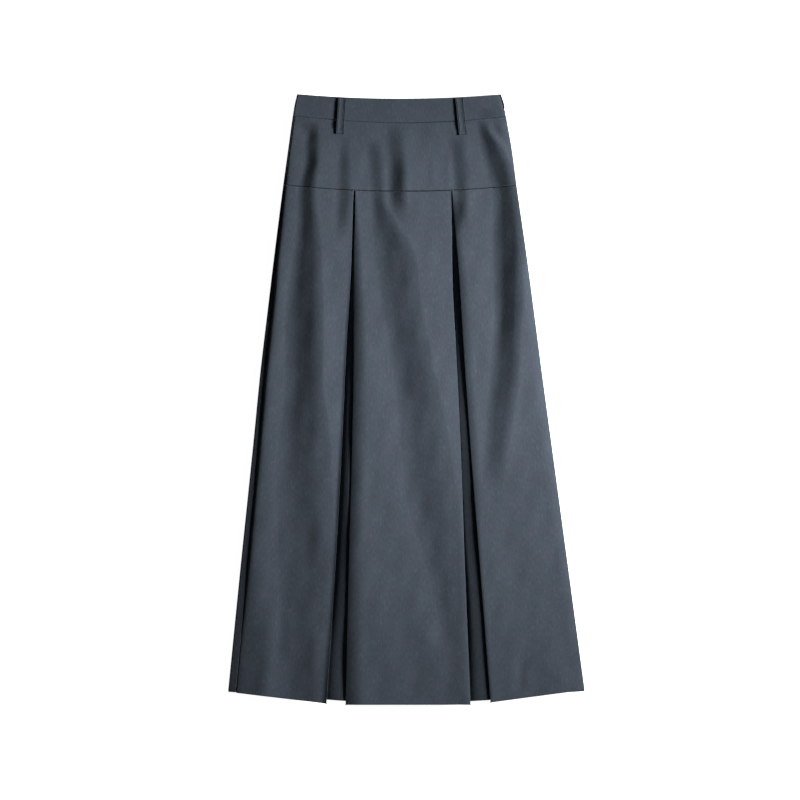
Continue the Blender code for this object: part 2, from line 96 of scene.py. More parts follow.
FOLD_RUN = 55.0  # distance over which a soft fold runs out
FOLD_DIP = 0.4  # share of a soft fold's rise that lies below the cloth round it
SEAM_RUNS = (2.5, 15.0)  # the front rises beside the left side seam: a quick part and a slow one
CREASE_END = 0.35  # share of a crease's length over which each of its ends fades
RIPPLE_SHIFT = 1.7  # angle in radians between one wave of the unevenness and the next
CALM_RUN = 26.0  # the unevenness fades out over this distance toward a pleat fold

BAND_TOP = 4.6  # height of the waistband's front
BAND_END_X = 150.0  # x of the waistband's right end, where the zip begins
BAND_WAVE = 0.5  # share of the cloth's unevenness that the waistband has,
BAND_WAVE_LIMITS = (-0.15, 0.3)  # its lowest and highest,
BAND_WAVE_RUNS = (25.0, 12.0)  # and where it fades out, at the left and the right end
BAND_FALL = 0.55  # how far the waistband falls toward its right end,
BAND_FALL_RUN = 8.0  # and over what distance
SWELL = 1.2  # how far the waistband rises right of the right loop,
SWELL_X, SWELL_RUN = 112.0, 28.0  # from where, over what distance,
SWELL_TOP, SWELL_FADE = 453.0, 9.0  # and how far up

LOOP_WIDTH = 12.0
LOOP_HEAD = 3.0  # flat end at the top edge
LOOP_FOOT = 8.0  # flat end that is sewn down on the yoke
LOOP_LEVEL = 30.0  # a loop lies level over this length, from its head
LOOP_GAP = 0.2  # space under a loop's flat ends
LOOP_BOW = 0.25  # more space under its middle,
LOOP_FULLNESS = 0.6  # and how early that begins: the less, the earlier
LOOP_ROW = 3.6  # distance of each row of edge stitching from a loop's middle
LOOP_RIDGE, LOOP_RIDGE_WIDTH = 0.12, 1.5  # height and width of the ridge along each row,
LOOP_RIDGE_LEAST = 0.3  # the share of its height that it keeps at a loop's ends,
LOOP_RIDGE_RUNS = (4.0, 8.0)  # and how far from the head and the foot it is whole
LOOP_LIP, LOOP_LIP_START, LOOP_LIP_RUN = 0.42, 4.0, 1.9  # a loop's right edge stands up
LOOP_TACK = 1.5  # a row of stitches runs across a loop, this far below the foot's upper end
LOOP_GROOVE, LOOP_GROOVE_WIDTH = 0.3, 0.8  # how deep it draws the cloth in, and how widely

STITCH_LENGTH, STITCH_PITCH, STITCH_WIDTH = 2.1, 2.9, 0.36
STITCH_LIFT = 0.06  # a stitch's middle above the cloth
STITCH_DIP = 0.35  # share of its width by which its ends dip,
STITCH_TAPER = 0.45  # and by which they are narrower
ROW_END = 3.0  # the edge rows stop this far from a loop's ends
TACK_PITCH, TACK_SLANT = 1.25, 0.12  # the stitches of the rows that run across a loop

ZIP_LENGTH = 180.0  # below the waist seam
ZIP_LOW, ZIP_HIGH = 1.75, 2.85  # heights of the tape's underside and upper side
ZIP_WIDTH = 5.0  # the two tapes, closed
ZIP_INSET = 3.0  # how far inside the right side the hidden zip lies
ZIP_SHOW_START, ZIP_SHOW_RUN = 8.0, 6.0  # where it comes out, above the waist seam
TAPE_SHOWS = 2.7  # width of tape in view beside the waistband
TAPE_GROOVE = 0.3  # depth of the groove along the tapes' edge
COIL_RADIUS, COIL_WIRE, COIL_PITCH = 0.32, 0.13, 1.15
COIL_LIFT = 0.1  # the coil's middle above the tape
COIL_ENDS = (4.0, 2.0)  # how far the coil ends before the tape, below and above

# Places in metres: what the key light is aimed at, and the middle of the picture.
LIGHT_AIM = (0.06, 0.05, 0.0)
VIEW_MIDDLE = (-0.00961, -0.00116)

# Curved lines across the skirt: y at the middle, and how far the ends rise at `half` from it.
CROSS_LINES = {
    "waist_top": {"y": 465.8, "rise": 7.0, "half": 158.0},
    "waist_seam": {"y": 429.0, "rise": 9.8, "half": 163.0},
    "yoke_seam": {"y": 322.2, "rise": 9.5, "half": 178.0},
    "back_hem": {"y": -461.6, "rise": 8.9, "half": 276.0},
}

# Hem of each front panel, straight from its outer to its inner corner.
HEMS = {
    "side_left": ((-276.2, -453.4), (-123.4, -471.2)),
    "centre": ((-93.9, -473.2), (99.5, -473.2)),
    "side_right": ((276.5, -450.1), (130.5, -469.6)),
    "underlay_left": ((-190.0, -461.0), (-30.0, -471.5)),
    "underlay_right": ((196.0, -461.5), (36.0, -472.0)),
}


class Curves:
    """A table whose columns are read at any y, along smooth curves that never overshoot a row."""

    def __init__(self, header, *rows):
        table = np.array(rows[::-1], float)
        self.y = table[:, 0]
        self.columns = {}
        for name, values in zip(header[1:], table.T[1:]):
            slopes = np.diff(values) / np.diff(self.y)
            before, after = slopes[:-1], slopes[1:]
            same = before * after > 0
            middle = np.where(same, 2 * before * after / np.where(same, before + after, 1), 0)
            self.columns[name] = values, np.concatenate([slopes[:1], middle, slopes[-1:]])

    def at(self, name, y):
        values, tangents = self.columns[name]
        y = np.clip(y, self.y[0], self.y[-1])
        i = np.clip(np.searchsorted(self.y, y) - 1, 0, len(self.y) - 2)
        step = self.y[i + 1] - self.y[i]
        t = (y - self.y[i]) / step
        rest = 1 - t
        return (
            values[i] * rest * rest * (1 + 2 * t)
            + values[i + 1] * t * t * (3 - 2 * t)
            + step * t * rest * (tangents[i] * rest - tangents[i + 1] * t)
        )


def curve_set(header, **tables):
    """Tables that have the same columns, by their names."""
    return {name: Curves(header, *rows) for name, rows in tables.items()}


# The sides. left_wrap is how far the back comes round to the front before the left side seam.
SIDES = Curves(
    ("y", "left", "left_wrap", "right"),
    (472.8, -168.8, 2.8, 146.6),
    (457.6, -172.5, 2.8, 151.6),
    (436, -176.1, 2.8, 155.2),
    (386.3, -183, 2.8, 163.8),
    (330.6, -190.7, 2.9, 171.1),
    (231.3, -203.4, 4, 185.4),
    (135.2, -215, 6.7, 198.1),
    (37.6, -226.5, 7.9, 210.8),
    (-60.1, -236.1, 9, 224),
    (-255.4, -256.3, 10.9, 250.3),
    (-450.7, -275.8, 12.1, 276.5),
)

# The front folds of the two inverted pleats, which open toward the hem.
PLEATS = Curves(
    ("y", "side_left", "centre_left", "centre_right", "side_right"),
    (323, -81.3, -78.9, 69.3, 71.2),
    (290, -82.8, -79.3, 70.1, 73.6),
    (247, -84, -80.3, 70.9, 77.6),
    (200, -85.6, -81.2, 71.3, 81.4),
    (75, -93, -81.4, 77.2, 89.3),
    (-75, -99.8, -84, 84.3, 99.8),
    (-250, -109.1, -88.8, 90.5, 113.5),
    (-470, -123.4, -93.9, 99.5, 130.5),
)

# How deep each pleat edge rolls down (below 0: springs up), and over what distance.
EDGE_ROLLS = curve_set(
    ("y", "drop", "run"),
    side_left=(
        (323, 0, 6),
        (220, -0.1, 5),
        (154, -0.35, 4),
        (60, -0.5, 4.5),
        (-32, -0.55, 4.5),
        (-125, -0.75, 6),
        (-311, -0.85, 6.5),
        (-404, -1, 8),
        (-470, -1.1, 8.5),
    ),
    centre_left=(
        (323, 0, 4),
        (308, 0.3, 4),
        (285, 0.5, 5.5),
        (247, 1.1, 10.5),
        (154, 2.3, 18),
        (-32, 2.7, 23),
        (-218, 2.4, 21),
        (-400, 2.8, 27),
        (-470, 2.8, 27),
    ),
    centre_right=(
        (323, 0, 4),
        (200, 0.05, 4),
        (-100, 0.05, 5),
        (-300, 0.3, 9),
        (-470, 0.3, 8),
    ),
    side_right=(
        (323, 0, 8),
        (313, 0.3, 8),
        (300, 1.6, 19),
        (288, 1.9, 17),
        (262, 1.2, 11.5),
        (247, 0.9, 10),
        (154, 1.3, 14),
        (-32, 1.2, 14),
        (-150, 0.8, 10),
        (-250, 0.4, 5),
        (-470, 0.4, 5),
    ),
)

# How an underlay climbs to the right where it shows: a quick step over `run`, that begins `lead`
# under the panel, then an even slope up to the share `ridge` of the slit.
UNDERLAYS = curve_set(
    ("y", "lead", "step", "run", "slope", "ridge"),
    left=(
        (323, 0, 0, 2, 0, 0.8),
        (200, 0, 0.6, 2, 0.10, 0.8),
        (60, 0, 2, 2, 0.17, 0.8),
        (-32, 0, 2.1, 2, 0.17, 0.8),
        (-125, 0, 2.3, 2.6, 0.17, 0.82),
        (-218, 0, 1.9, 3.2, 0.165, 0.84),
        (-311, 0, 1.7, 5.5, 0.125, 0.87),
        (-404, 0, 2.8, 12, 0.03, 0.87),
        (-470, 0, 2.4, 12, 0.06, 0.87),
    ),
    right=(
        (323, 0, 0, 2, 0, 0.8),
        (247, 0, 0.8, 2, 0.05, 0.8),
        (154, 1, 1.6, 1.8, 0.12, 0.8),
        (60, 3, 2, 1.5, 0.14, 0.8),
        (-32, 4, 2.3, 1.5, 0.15, 0.8),
        (-125, 4, 2.5, 1.6, 0.15, 0.8),
        (-218, 2.5, 2.4, 1.8, 0.14, 0.82),
        (-311, 0.5, 2, 3.2, 0.12, 0.86),
        (-404, 0, 1.9, 6.5, 0.09, 0.87),
        (-470, 0, 1.8, 8, 0.08, 0.87),
    ),
)

# Share of the quick part in the front's rise beside the left side seam.
SEAM_RISE = Curves(
    ("y", "quick"),
    (429, 0.5),
    (371, 0.5),
    (309, 0.8),
    (154, 0.8),
    (-80, 0.5),
    (-234, 0.35),
    (-311, 0.25),
    (-390, 0.08),
    (-472.8, 0.05),
)

# How high the front lies, down the middle of its panels.
LEVELS = Curves(
    ("y", "front"),
    (429, 4.7),
    (375, 6),
    (323, 7.3),
    (270, 8),
    (150, 8.4),
    (-200, 8.2),
    (-472.8, 7.8),
)

# Soft folds. Each climbs by `rise` across `width` toward +X and runs out gently on both sides.
FOLDS = curve_set(
    ("y", "x", "width", "rise"),
    left_hip=(
        (433, -143, 17, 0),
        (417, -143, 19, 1.4),
        (394, -146, 24, 2.5),
        (371, -145.5, 23, 2.8),
        (348, -150, 25, 3.2),
        (317, -154, 29, 3.5),
        (247, -151.5, 39, 4.2),
        (208, -154, 48, 4.9),
        (154, -156, 57, 5.3),
        (92, -158, 60, 5.8),
        (30, -158, 58, 5.8),
        (-32, -157, 72, 6),
        (-125, -158, 86, 4.7),
        (-218, -155, 86, 4.4),
        (-342, -158, 76, 3.7),
        (-474, -162, 76, 3.2),
    ),
    right_hip=(
        (436, 117, 19, 0),
        (417, 121, 21, 2.2),
        (394, 131, 33, 4),
        (371, 139, 41, 4.8),
        (317, 156, 45, 5.4),
        (247, 160, 52, 6.2),
        (154, 159, 46, 5.4),
        (92, 156, 43, 4.8),
        (30, 152, 45, 4.4),
        (-17, 147, 43, 3.7),
        (-63, 141, 38, 2.6),
        (-102, 137, 36, 1.6),
        (-156, 130, 33, 0),
    ),
    middle=(
        (405, -49, 21, 0),
        (386, -49, 24, 1.5),
        (355, -46, 24, 1.9),
        (309, -43, 26, 2.4),
        (278, -35, 36, 3.2),
        (239, -21, 58, 4.4),
        (208, -15, 64, 4.6),
        (154, -8, 61, 4.1),
        (92, 4, 62, 4.4),
        (30, 15, 64, 4.5),
        (-32, 25, 72, 3.9),
        (-156, 40, 80, 3.3),
        (-218, 55, 72, 3),
        (-280, 66, 57, 2.2),
        (-373, 74, 43, 1.6),
        (-474, 77, 43, 0.8),
    ),
    yoke_middle=(
        (430, -14, 29, 0),
        (394, -16, 29, 1.9),
        (371, -14, 29, 2.8),
        (343, -14, 31, 3.8),
        (309, -13, 31, 3.4),
        (292, -12, 31, 1.8),
        (270, -11, 29, 0),
    ),
    left_corner=(
        (-250, -218, 50, 0),
        (-342, -226, 50, 1),
        (-404, -232, 46, 2),
        (-474, -238, 44, 2.4),
    ),
    left_pleat_head=(
        (414, -96, 19, 0),
        (386, -96, 19, 0.8),
        (355, -96, 24, 1.7),
        (309, -96, 26, 2.1),
        (286, -98, 24, 1.7),
        (244, -100, 19, 0),
    ),
    right_pleat_head=(
        (414, 80, 29, 0),
        (386, 80, 31, 2.1),
        (355, 84, 29, 2.4),
        (332, 85, 24, 2.2),
        (309, 87, 21, 1.9),
        (287, 88, 19, 1.3),
        (259, 86, 19, 0),
    ),
)

# Smaller creases, each a soft ridge (or, below 0, a trough) along a line: its start and end, its
# width and its rise.
CREASES = (
    ((42, 384), (40, 322), 7, 0.30),
    ((66, 392), (66, 326), 6, 0.30),
    ((-72, 396), (-74, 330), 8, 0.22),
    ((-168, 430), (-146, 396), 8, -0.45),
    ((128, 428), (158, 392), 7, -0.50),
    ((142, 428), (160, 410), 6, 0.30),
    ((6, -330), (84, -432), 22, 0.55),
    ((74, -190), (86, -400), 12, -0.35),
    ((178, -392), (176, -462), 8, -0.35),
    ((258, -370), (252, -430), 14, -0.40),
    ((-158, -140), (-154, -270), 12, -0.20),
    ((-184, -300), (-176, -440), 12, 0.35),
    ((-140, -330), (-146, -452), 10, 0.30),
    ((-40, -60), (-30, -260), 26, 0.35),
    ((190, -40), (214, -260), 26, 0.30),
    ((-118, 200), (-124, 40), 18, 0.25),
)

# Slow unevenness of pressed cloth: wave length, direction in degrees, height.
RIPPLES = (
    (61, 12, 0.10),
    (43, -31, 0.06),
    (34, 55, 0.03),
    (87, 78, 0.08),
    (27, -8, 0.03),
)

# Belt loops: middle of the top end and of the foot.
LOOPS = {
    "belt_loop_left": ((-99.3, 467.0), (-102.9, 410.6)),
    "belt_loop_right": ((81.9, 466.6), (88.0, 409.4)),
}


# ------------------------------------------------------------------ lines and heights
def cross_line(name, x):
    line = CROSS_LINES[name]
    return line["y"] + line["rise"] * ((x - CENTRE_X) / line["half"]) ** 2


def ditch(x):
    """Width of the shadowed line along a seam that runs across the front, narrower at its ends."""
    share = np.exp(-(((x - CENTRE_X) / DITCH_REACH) ** 2))
    return DITCH_ENDS + (DITCH_MIDDLE - DITCH_ENDS) * share


def beside(name, gap, way):
    return lambda x: cross_line(name, x) + way * (gap(x) if callable(gap) else gap) / 2


def below(name, gap=SEAM_GAP):
    """The line at half a gap under a cross line. The gap is a width, or a function of x."""
    return beside(name, gap, -1)


def above(name, gap=SEAM_GAP):
    """The line at half a gap over a cross line."""
    return beside(name, gap, 1)


def hem(panel):
    (x0, y0), (x1, y1) = HEMS[panel]
    return lambda x: y0 + (y1 - y0) * (x - x0) / (x1 - x0)


def left_side(y):
    return SIDES.at("left", y)


def left_seam(y):
    return left_side(y) + SIDES.at("left_wrap", y)


def front_start(y):
    """The front's left edge, half a gap right of the left side seam."""
    return left_seam(y) + SEAM_GAP / 2


def right_side(y):
    return SIDES.at("right", y)


def ease(t):
    t = np.clip(t, 0.0, 1.0)
    return t * t * (3 - 2 * t)


def ramp(t):
    """A straight climb from 0 to 1 with short rounds at both ends."""
    t = np.clip(t, 0.0, 1.0)
    round_part = 0.35
    low = np.minimum(t, 1 - t)
    part = np.where(
        low < round_part,
        low * low / (2 * round_part * (1 - round_part)),
        (low - round_part / 2) / (1 - round_part),
    )
    return np.where(t > 0.5, 1 - part, part)


def fold_lift(fold, x, y):
    """Height that one soft fold gives: part of its rise down before it, the rest up after it."""
    rise = np.maximum(fold.at("rise", y), 0.0)
    half = fold.at("width", y) / 2
    off = x - fold.at("x", y)
    across = ramp((off + half) / (2 * half)) - FOLD_DIP
    share = np.where(off < 0, -FOLD_DIP, 1 - FOLD_DIP)
    beyond = share * np.exp(-np.maximum(np.abs(off) - half, 0) / FOLD_RUN)
    return rise * np.where(np.abs(off) <= half, across, beyond)


def crease_lift(x, y):
    """Height of the smaller creases and of the cloth's slow unevenness."""
    lift = np.zeros_like(x)
    for (x0, y0), (x1, y1), width, rise in CREASES:
        length = math.hypot(x1 - x0, y1 - y0)
        ux, uy = (x1 - x0) / length, (y1 - y0) / length
        along = ((x - x0) * ux + (y - y0) * uy) / length
        across = (x - x0) * -uy + (y - y0) * ux
        window = ease(along / CREASE_END) * ease((1 - along) / CREASE_END)
        lift += rise * window * np.exp(-((across / width) ** 2))
    ripples = np.zeros_like(x)
    for k, (length, degrees, rise) in enumerate(RIPPLES):
        turn = math.radians(degrees)
        way = x * math.cos(turn) + y * math.sin(turn)
        ripples += rise * np.sin(2 * math.pi * way / length + RIPPLE_SHIFT * k)
    to_fold = np.min([np.abs(x - PLEATS.at(edge, y)) for edge in PLEATS.columns], axis=0)
    return lift + ripples * ease(to_fold / CALM_RUN)


def edge_sink(distance, radius=SEAM_ROLL):
    """How far cloth has rolled down at a distance from its edge."""
    inside = np.clip(radius - distance, 0.0, radius)
    return radius - np.sqrt(radius**2 - inside**2)


def front_height(x, y):
    """Height of the front's outer face, from the left side seam to the right side."""
    height = LEVELS.at("front", y) + sum(fold_lift(fold, x, y) for fold in FOLDS.values())
    height = height + crease_lift(x, y)
    from_seam = np.maximum(x - left_seam(y), 0.0)
    quick = SEAM_RISE.at("quick", y)
    near, far = (np.exp(-from_seam / run) for run in SEAM_RUNS)
    rest = quick * near + (1 - quick) * far
    height = LEFT_ROLL_TOP + (height - LEFT_ROLL_TOP) * (1 - rest)
    from_side = right_side(y) - x
    height = height - RIGHT_FALL * np.clip(1 - from_side / RIGHT_FALL_RUN, 0.0, 1.0) ** 2
    return height - edge_sink(from_side, RIGHT_ROLL)


def opening(y):
    """0 where a pleat is sewn shut at the yoke, 1 where it hangs free."""
    return ease((CROSS_LINES["yoke_seam"]["y"] - y) / OPENING_RUN)


def panel_height(x, y, edges, crown=0.0):
    """The front's height on a panel, lower toward the pleat folds in edges."""
    sink = 0.0
    for name in edges:
        roll = EDGE_ROLLS[name]
        away = np.maximum(np.abs(x - PLEATS.at(name, y)) - FOLD_NOSE, 0)
        near = np.clip(1 - away / roll.at("run", y), 0, 1)
        sink = sink + roll.at("drop", y) * near**2
    return front_height(x, y) + opening(y) * crown - sink


# ------------------------------------------------------------------ laying out a grid of cloth
def roll_steps(radius, *further):
    """Distances from an edge: close together where the cloth rolls over it, then wider."""
    turn = [radius * (1 - math.cos(math.radians(a))) for a in (0, 24, 46, 68, 90)]
    return turn + list(further)


def stations(near_start, near_end, middle):
    """(share, offset) of each place between two ends, crowded at the distances near each end."""
    first = near_start[-1] if near_start else 0.0
    last = near_end[-1] if near_end else 0.0
    share = [0.0] * len(near_start)
    offset = list(near_start)
    for k in range(bool(near_start), middle + 1 - bool(near_end)):
        share.append(k / middle)
        offset.append(first - (first + last) * k / middle)
    share += [1.0] * len(near_end)
    offset += [-d for d in near_end[::-1]]
    return np.array(share), np.array(offset)


def lay_out(start, end, columns, top, bottom, rows):
    """x and y of a grid between two side lines and two cross lines, waist first, left first."""
    across, shift = columns
    down = rows[0][:, None]
    drop = -rows[1][:, None]
    y = top(CENTRE_X) * (1 - down) + bottom(CENTRE_X) * down + drop + np.zeros((1, len(across)))
    for _ in range(4):
        x = start(y) + across * (end(y) - start(y)) + shift
        y = top(x) * (1 - down) + bottom(x) * down + drop
    return x, y


def follow(place, top, bottom, rows, y):
    """x and y of one more column, whose x is place(y)."""
    down, drop = rows[0], -rows[1]
    for _ in range(3):
        x = place(y)
        y = top(x) * (1 - down) + bottom(x) * down + drop
    return x, y


def columns_at(places, top, bottom, rows):
    """Points of a grid column by column. A place is its x as a function of y, and its height."""
    base = top(CENTRE_X) * (1 - rows[0]) + bottom(CENTRE_X) * rows[0] - rows[1]
    columns = []
    for place, z in places:
        x, y = follow(place, top, bottom, rows, base)
        height = z(y) if callable(z) else np.full_like(x, z)
        columns.append(np.stack([x, y, height], axis=-1))
    return np.stack(columns, axis=1)


def outward(points):
    """Unit normals of a grid of points, on the side that faces out."""
    along_row = np.gradient(points, axis=1)
    down = np.gradient(points, axis=0)
    normal = np.cross(along_row, -down)
    return normal / np.maximum(np.linalg.norm(normal, axis=2, keepdims=True), 1e-9)


def sink_edges(points, *distances):
    """Rolls a grid's edges in, along its normals, by each set of distances from an edge."""
    normal = outward(points)
    sink = sum(edge_sink(d) for d in distances)
    return points - normal * np.minimum(sink, SEAM_ROLL)[..., None]


def limit_bevel(piece, name, width, segments, degrees):
    """A bevel on a piece's edges that are sharper than an angle."""
    bevel = piece.modifiers.new(name, "BEVEL")
    bevel.width = width * MM
    bevel.segments = segments
    bevel.limit_method = "ANGLE"
    bevel.angle_limit = math.radians(degrees)


def cloth(name, points, wall, flip=False, rounding=0.0):
    """A cloth wall behind a grid of points, with a UV map in metres along the threads."""
    count_rows, count_columns = points.shape[:2]
    index = np.arange(count_rows * count_columns).reshape(count_rows, count_columns)
    corners = (index[:-1, :-1], index[1:, :-1], index[1:, 1:], index[:-1, 1:])
    faces = np.stack(corners[::-1] if flip else corners, axis=-1).reshape(-1, 4)
    mesh = bpy.data.meshes.new(name)
    mesh.from_pydata((points.reshape(-1, 3) * MM).tolist(), [], faces.tolist())
    steps = np.linalg.norm(np.diff(points, axis=1), axis=2)
    across = np.concatenate([np.zeros((count_rows, 1)), np.cumsum(steps, axis=1)], axis=1)
    across -= across[:, count_columns // 2 : count_columns // 2 + 1]
    threads = np.stack([across, points[..., 1]], axis=-1).reshape(-1, 2) * MM
    layer = mesh.uv_layers.new(name="threads")
    corner = np.empty(len(mesh.loops), np.int32)
    mesh.loops.foreach_get("vertex_index", corner)
    layer.data.foreach_set("uv", threads[corner].astype(np.float32).ravel())
    mesh.shade_smooth()
    piece = bpy.data.objects.new(name, mesh)
    bpy.context.scene.collection.objects.link(piece)
    mesh.materials.append(suiting())
    solid = piece.modifiers.new("wall", "SOLIDIFY")
    solid.thickness = wall * MM
    solid.offset = -1.0
    if rounding:
        limit_bevel(piece, "rounded edges", rounding, 3, 50)
    piece.modifiers.new("even shading", "WEIGHTED_NORMAL")
    return piece


# ------------------------------------------------------------------ the pieces of the skirt
NEAR_SEAM = roll_steps(SEAM_ROLL, 1.9, 3.0, 4.6, 7.0)
NEAR_FOLD = [0.0, 0.15, 0.6, 1.3, 2.2, 3.4, 5.0]
NEAR_ROLL = roll_steps(RIGHT_ROLL, 2.3, 3.8, 5.8, 8.2)
FRONT_ROWS = stations(NEAR_SEAM, NEAR_SEAM, 250)  # the more rows, the smoother the long folds
TURN_STEPS = 9
RETURN_STEPS = 14
LIP_SHARES = (0.5, 1.0)  # heights of the lip's columns along the right side, from the face down


def fold_columns(edge, top, bottom, rows, face_z, y, toward):
    """The turn of a pleat fold and its return to the hidden seam, column by column."""
    columns = []
    for k in range(1, TURN_STEPS):
        angle = math.radians(90 - 180 * k / TURN_STEPS)
        back = toward * (FOLD_NOSE if angle > 0 else FOLD_HEEL) * (1 - math.cos(angle))
        x, y_at = follow(lambda v: PLEATS.at(edge, v) - back, top, bottom, rows, y)
        columns.append((x, y_at, face_z - FOLD_RADIUS * (1 - math.sin(angle))))
    start = np.maximum(face_z - 2 * FOLD_RADIUS, RETURN_LOW)
    for k in range(RETURN_STEPS + 1):
        t = k / RETURN_STEPS
        back = toward * (FOLD_HEEL + (PLEAT_DEPTH - FOLD_HEEL) * t)
        x, y_at = follow(lambda v: PLEATS.at(edge, v) - back, top, bottom, rows, y)
        columns.append((x, y_at, RETURN_LOW + (start - RETURN_LOW) * (1 - t) ** 3))
    return [np.stack(column, axis=-1)[:, None, :] for column in columns]


def front_panel(panel, edges, start, end, columns, crown=0.0):
    """Points of one front panel with its pleat returns, and their distances below the upper seam
    and above the hem, for rolling them in.
    """
    top, bottom = below("yoke_seam", ditch), hem(panel)
    x, y = lay_out(start, end, columns, top, bottom, FRONT_ROWS)
    z = panel_height(x, y, edges, crown)
    parts = [np.stack([x, y, z], axis=-1)]
    for edge in edges:
        toward = 1 if edge in ("side_left", "centre_right") else -1
        side = -1 if toward == 1 else 0
        at_edge = z[:, side], y[:, side]
        new = fold_columns(edge, top, bottom, FRONT_ROWS, *at_edge, toward)
        parts = parts + new if toward == 1 else new[::-1] + parts
    points = np.concatenate(parts, axis=1)
    return points, top(points[..., 0]) - points[..., 1], points[..., 1] - bottom(points[..., 0])


def right_lip(points):
    """More columns straight below the last one, down to the right side seam."""
    extra = []
    for share in LIP_SHARES:
        column = points[:, -1:, :].copy()
        column[..., 2] += share * (BACK_EDGE_Z + SEAM_GAP - column[..., 2])
        extra.append(column)
    return np.concatenate([points] + extra, axis=1)


def make_side_left():
    columns = stations(NEAR_SEAM, NEAR_FOLD, 62)
    points, upper, lower = front_panel(
        "side_left",
        ("side_left",),
        front_start,
        lambda y: PLEATS.at("side_left", y) - FOLD_NOSE,
        columns,
    )
    seam = np.abs(points[..., 0] - front_start(points[..., 1]))
    seam[:, len(columns[0]) :] = SEAM_ROLL
    return cloth("front_side_left", sink_edges(points, upper, lower, seam), WALL)


def make_centre():
    points, upper, lower = front_panel(
        "centre",
        ("centre_left", "centre_right"),
        lambda y: PLEATS.at("centre_left", y) + FOLD_NOSE,
        lambda y: PLEATS.at("centre_right", y) - FOLD_NOSE,
        stations(NEAR_FOLD, NEAR_FOLD, 84),
        CENTRE_CROWN,
    )
    return cloth("front_centre", sink_edges(points, upper, lower), WALL)


def make_side_right():
    points, upper, lower = front_panel(
        "side_right",
        ("side_right",),
        lambda y: PLEATS.at("side_right", y) + FOLD_NOSE,
        right_side,
        stations(NEAR_FOLD, NEAR_ROLL, 60),
    )
    grow = ((0, 0), (0, len(LIP_SHARES)))
    upper, lower = np.pad(upper, grow, "edge"), np.pad(lower, grow, "edge")
    return cloth("front_side_right", sink_edges(right_lip(points), upper, lower), WALL)


def make_yoke():
    """The yoke, with its upper allowance turned up inside the waistband."""
    rows = stations(NEAR_SEAM, NEAR_SEAM, 40)
    columns = stations(NEAR_SEAM, NEAR_ROLL, 165)
    top, bottom = below("waist_seam", ditch), above("yoke_seam", ditch)
    x, y = lay_out(front_start, right_side, columns, top, bottom, rows)
    points = right_lip(np.stack([x, y, front_height(x, y)], axis=-1))
    x, y = points[..., 0], points[..., 1]
    points = sink_edges(points, top(x) - y, y - bottom(x), np.abs(x - front_start(y)))
    gap = ditch(points[:1, :, 0])
    turned_up = []
    for reach, z in (
        (ALLOWANCE, ALLOWANCE_Z),
        (gap + ALLOWANCE_START, ALLOWANCE_Z),
        (DITCH_FLAT[1] * gap, DITCH_FLOOR),
        (DITCH_FLAT[0] * gap, DITCH_FLOOR),
        (0.0, ALLOWANCE_Z + DITCH_LIP),
    ):
        row = points[:1].copy()
        row[..., 0] -= ALLOWANCE_INSET * (row[..., 0] - row[0, 0, 0]) / np.ptp(row[..., 0])
        row[..., 1] += reach
        row[..., 2] = np.minimum(row[..., 2] - ALLOWANCE_UNDER, z)
        turned_up.append(row)
    return cloth("front_yoke", np.concatenate(turned_up + [points], axis=0), WALL)


def underlay_lift(side, x, y):
    """How far an underlay stands above its flat part, which it does only where it shows."""
    ends = {"left": ("side_left", "centre_left"), "right": ("centre_right", "side_right")}
    near, far = (PLEATS.at(edge, y) for edge in ends[side])
    shape = UNDERLAYS[side]
    lead, step, run, slope, ridge = (shape.at(name, y) for name in shape.columns)
    ridge = ridge * (far - near)
    quick = step * (1 - np.exp(-np.maximum(x - near + lead, 0) / run))
    even = slope * np.clip(x - near, 0, ridge)
    return (quick + even) * (1 - ease(np.maximum(x - near - ridge, 0) / DIP_RUN))


def make_underlay(side):
    """The cloth behind a slit: flat under the panels, climbing to the right where it shows."""
    toward = 1 if side == "left" else -1
    rows = stations(NEAR_SEAM, NEAR_SEAM, 130)
    top, bottom = below("yoke_seam"), hem("underlay_" + side)
    hidden = [
        lambda y: PLEATS.at("side_" + side, y) - toward * PLEAT_DEPTH,
        lambda y: PLEATS.at("centre_" + side, y) + toward * PLEAT_DEPTH,
    ]
    start, end = hidden if side == "left" else hidden[::-1]
    x, y = lay_out(start, end, stations([], [], 90), top, bottom, rows)
    points = np.stack([x, y, UNDERLAY_TOP + underlay_lift(side, x, y)], axis=-1)
    points = sink_edges(points, top(x) - y, y - bottom(x))
    return cloth("pleat_underlay_cloth_" + side, points, WALL)


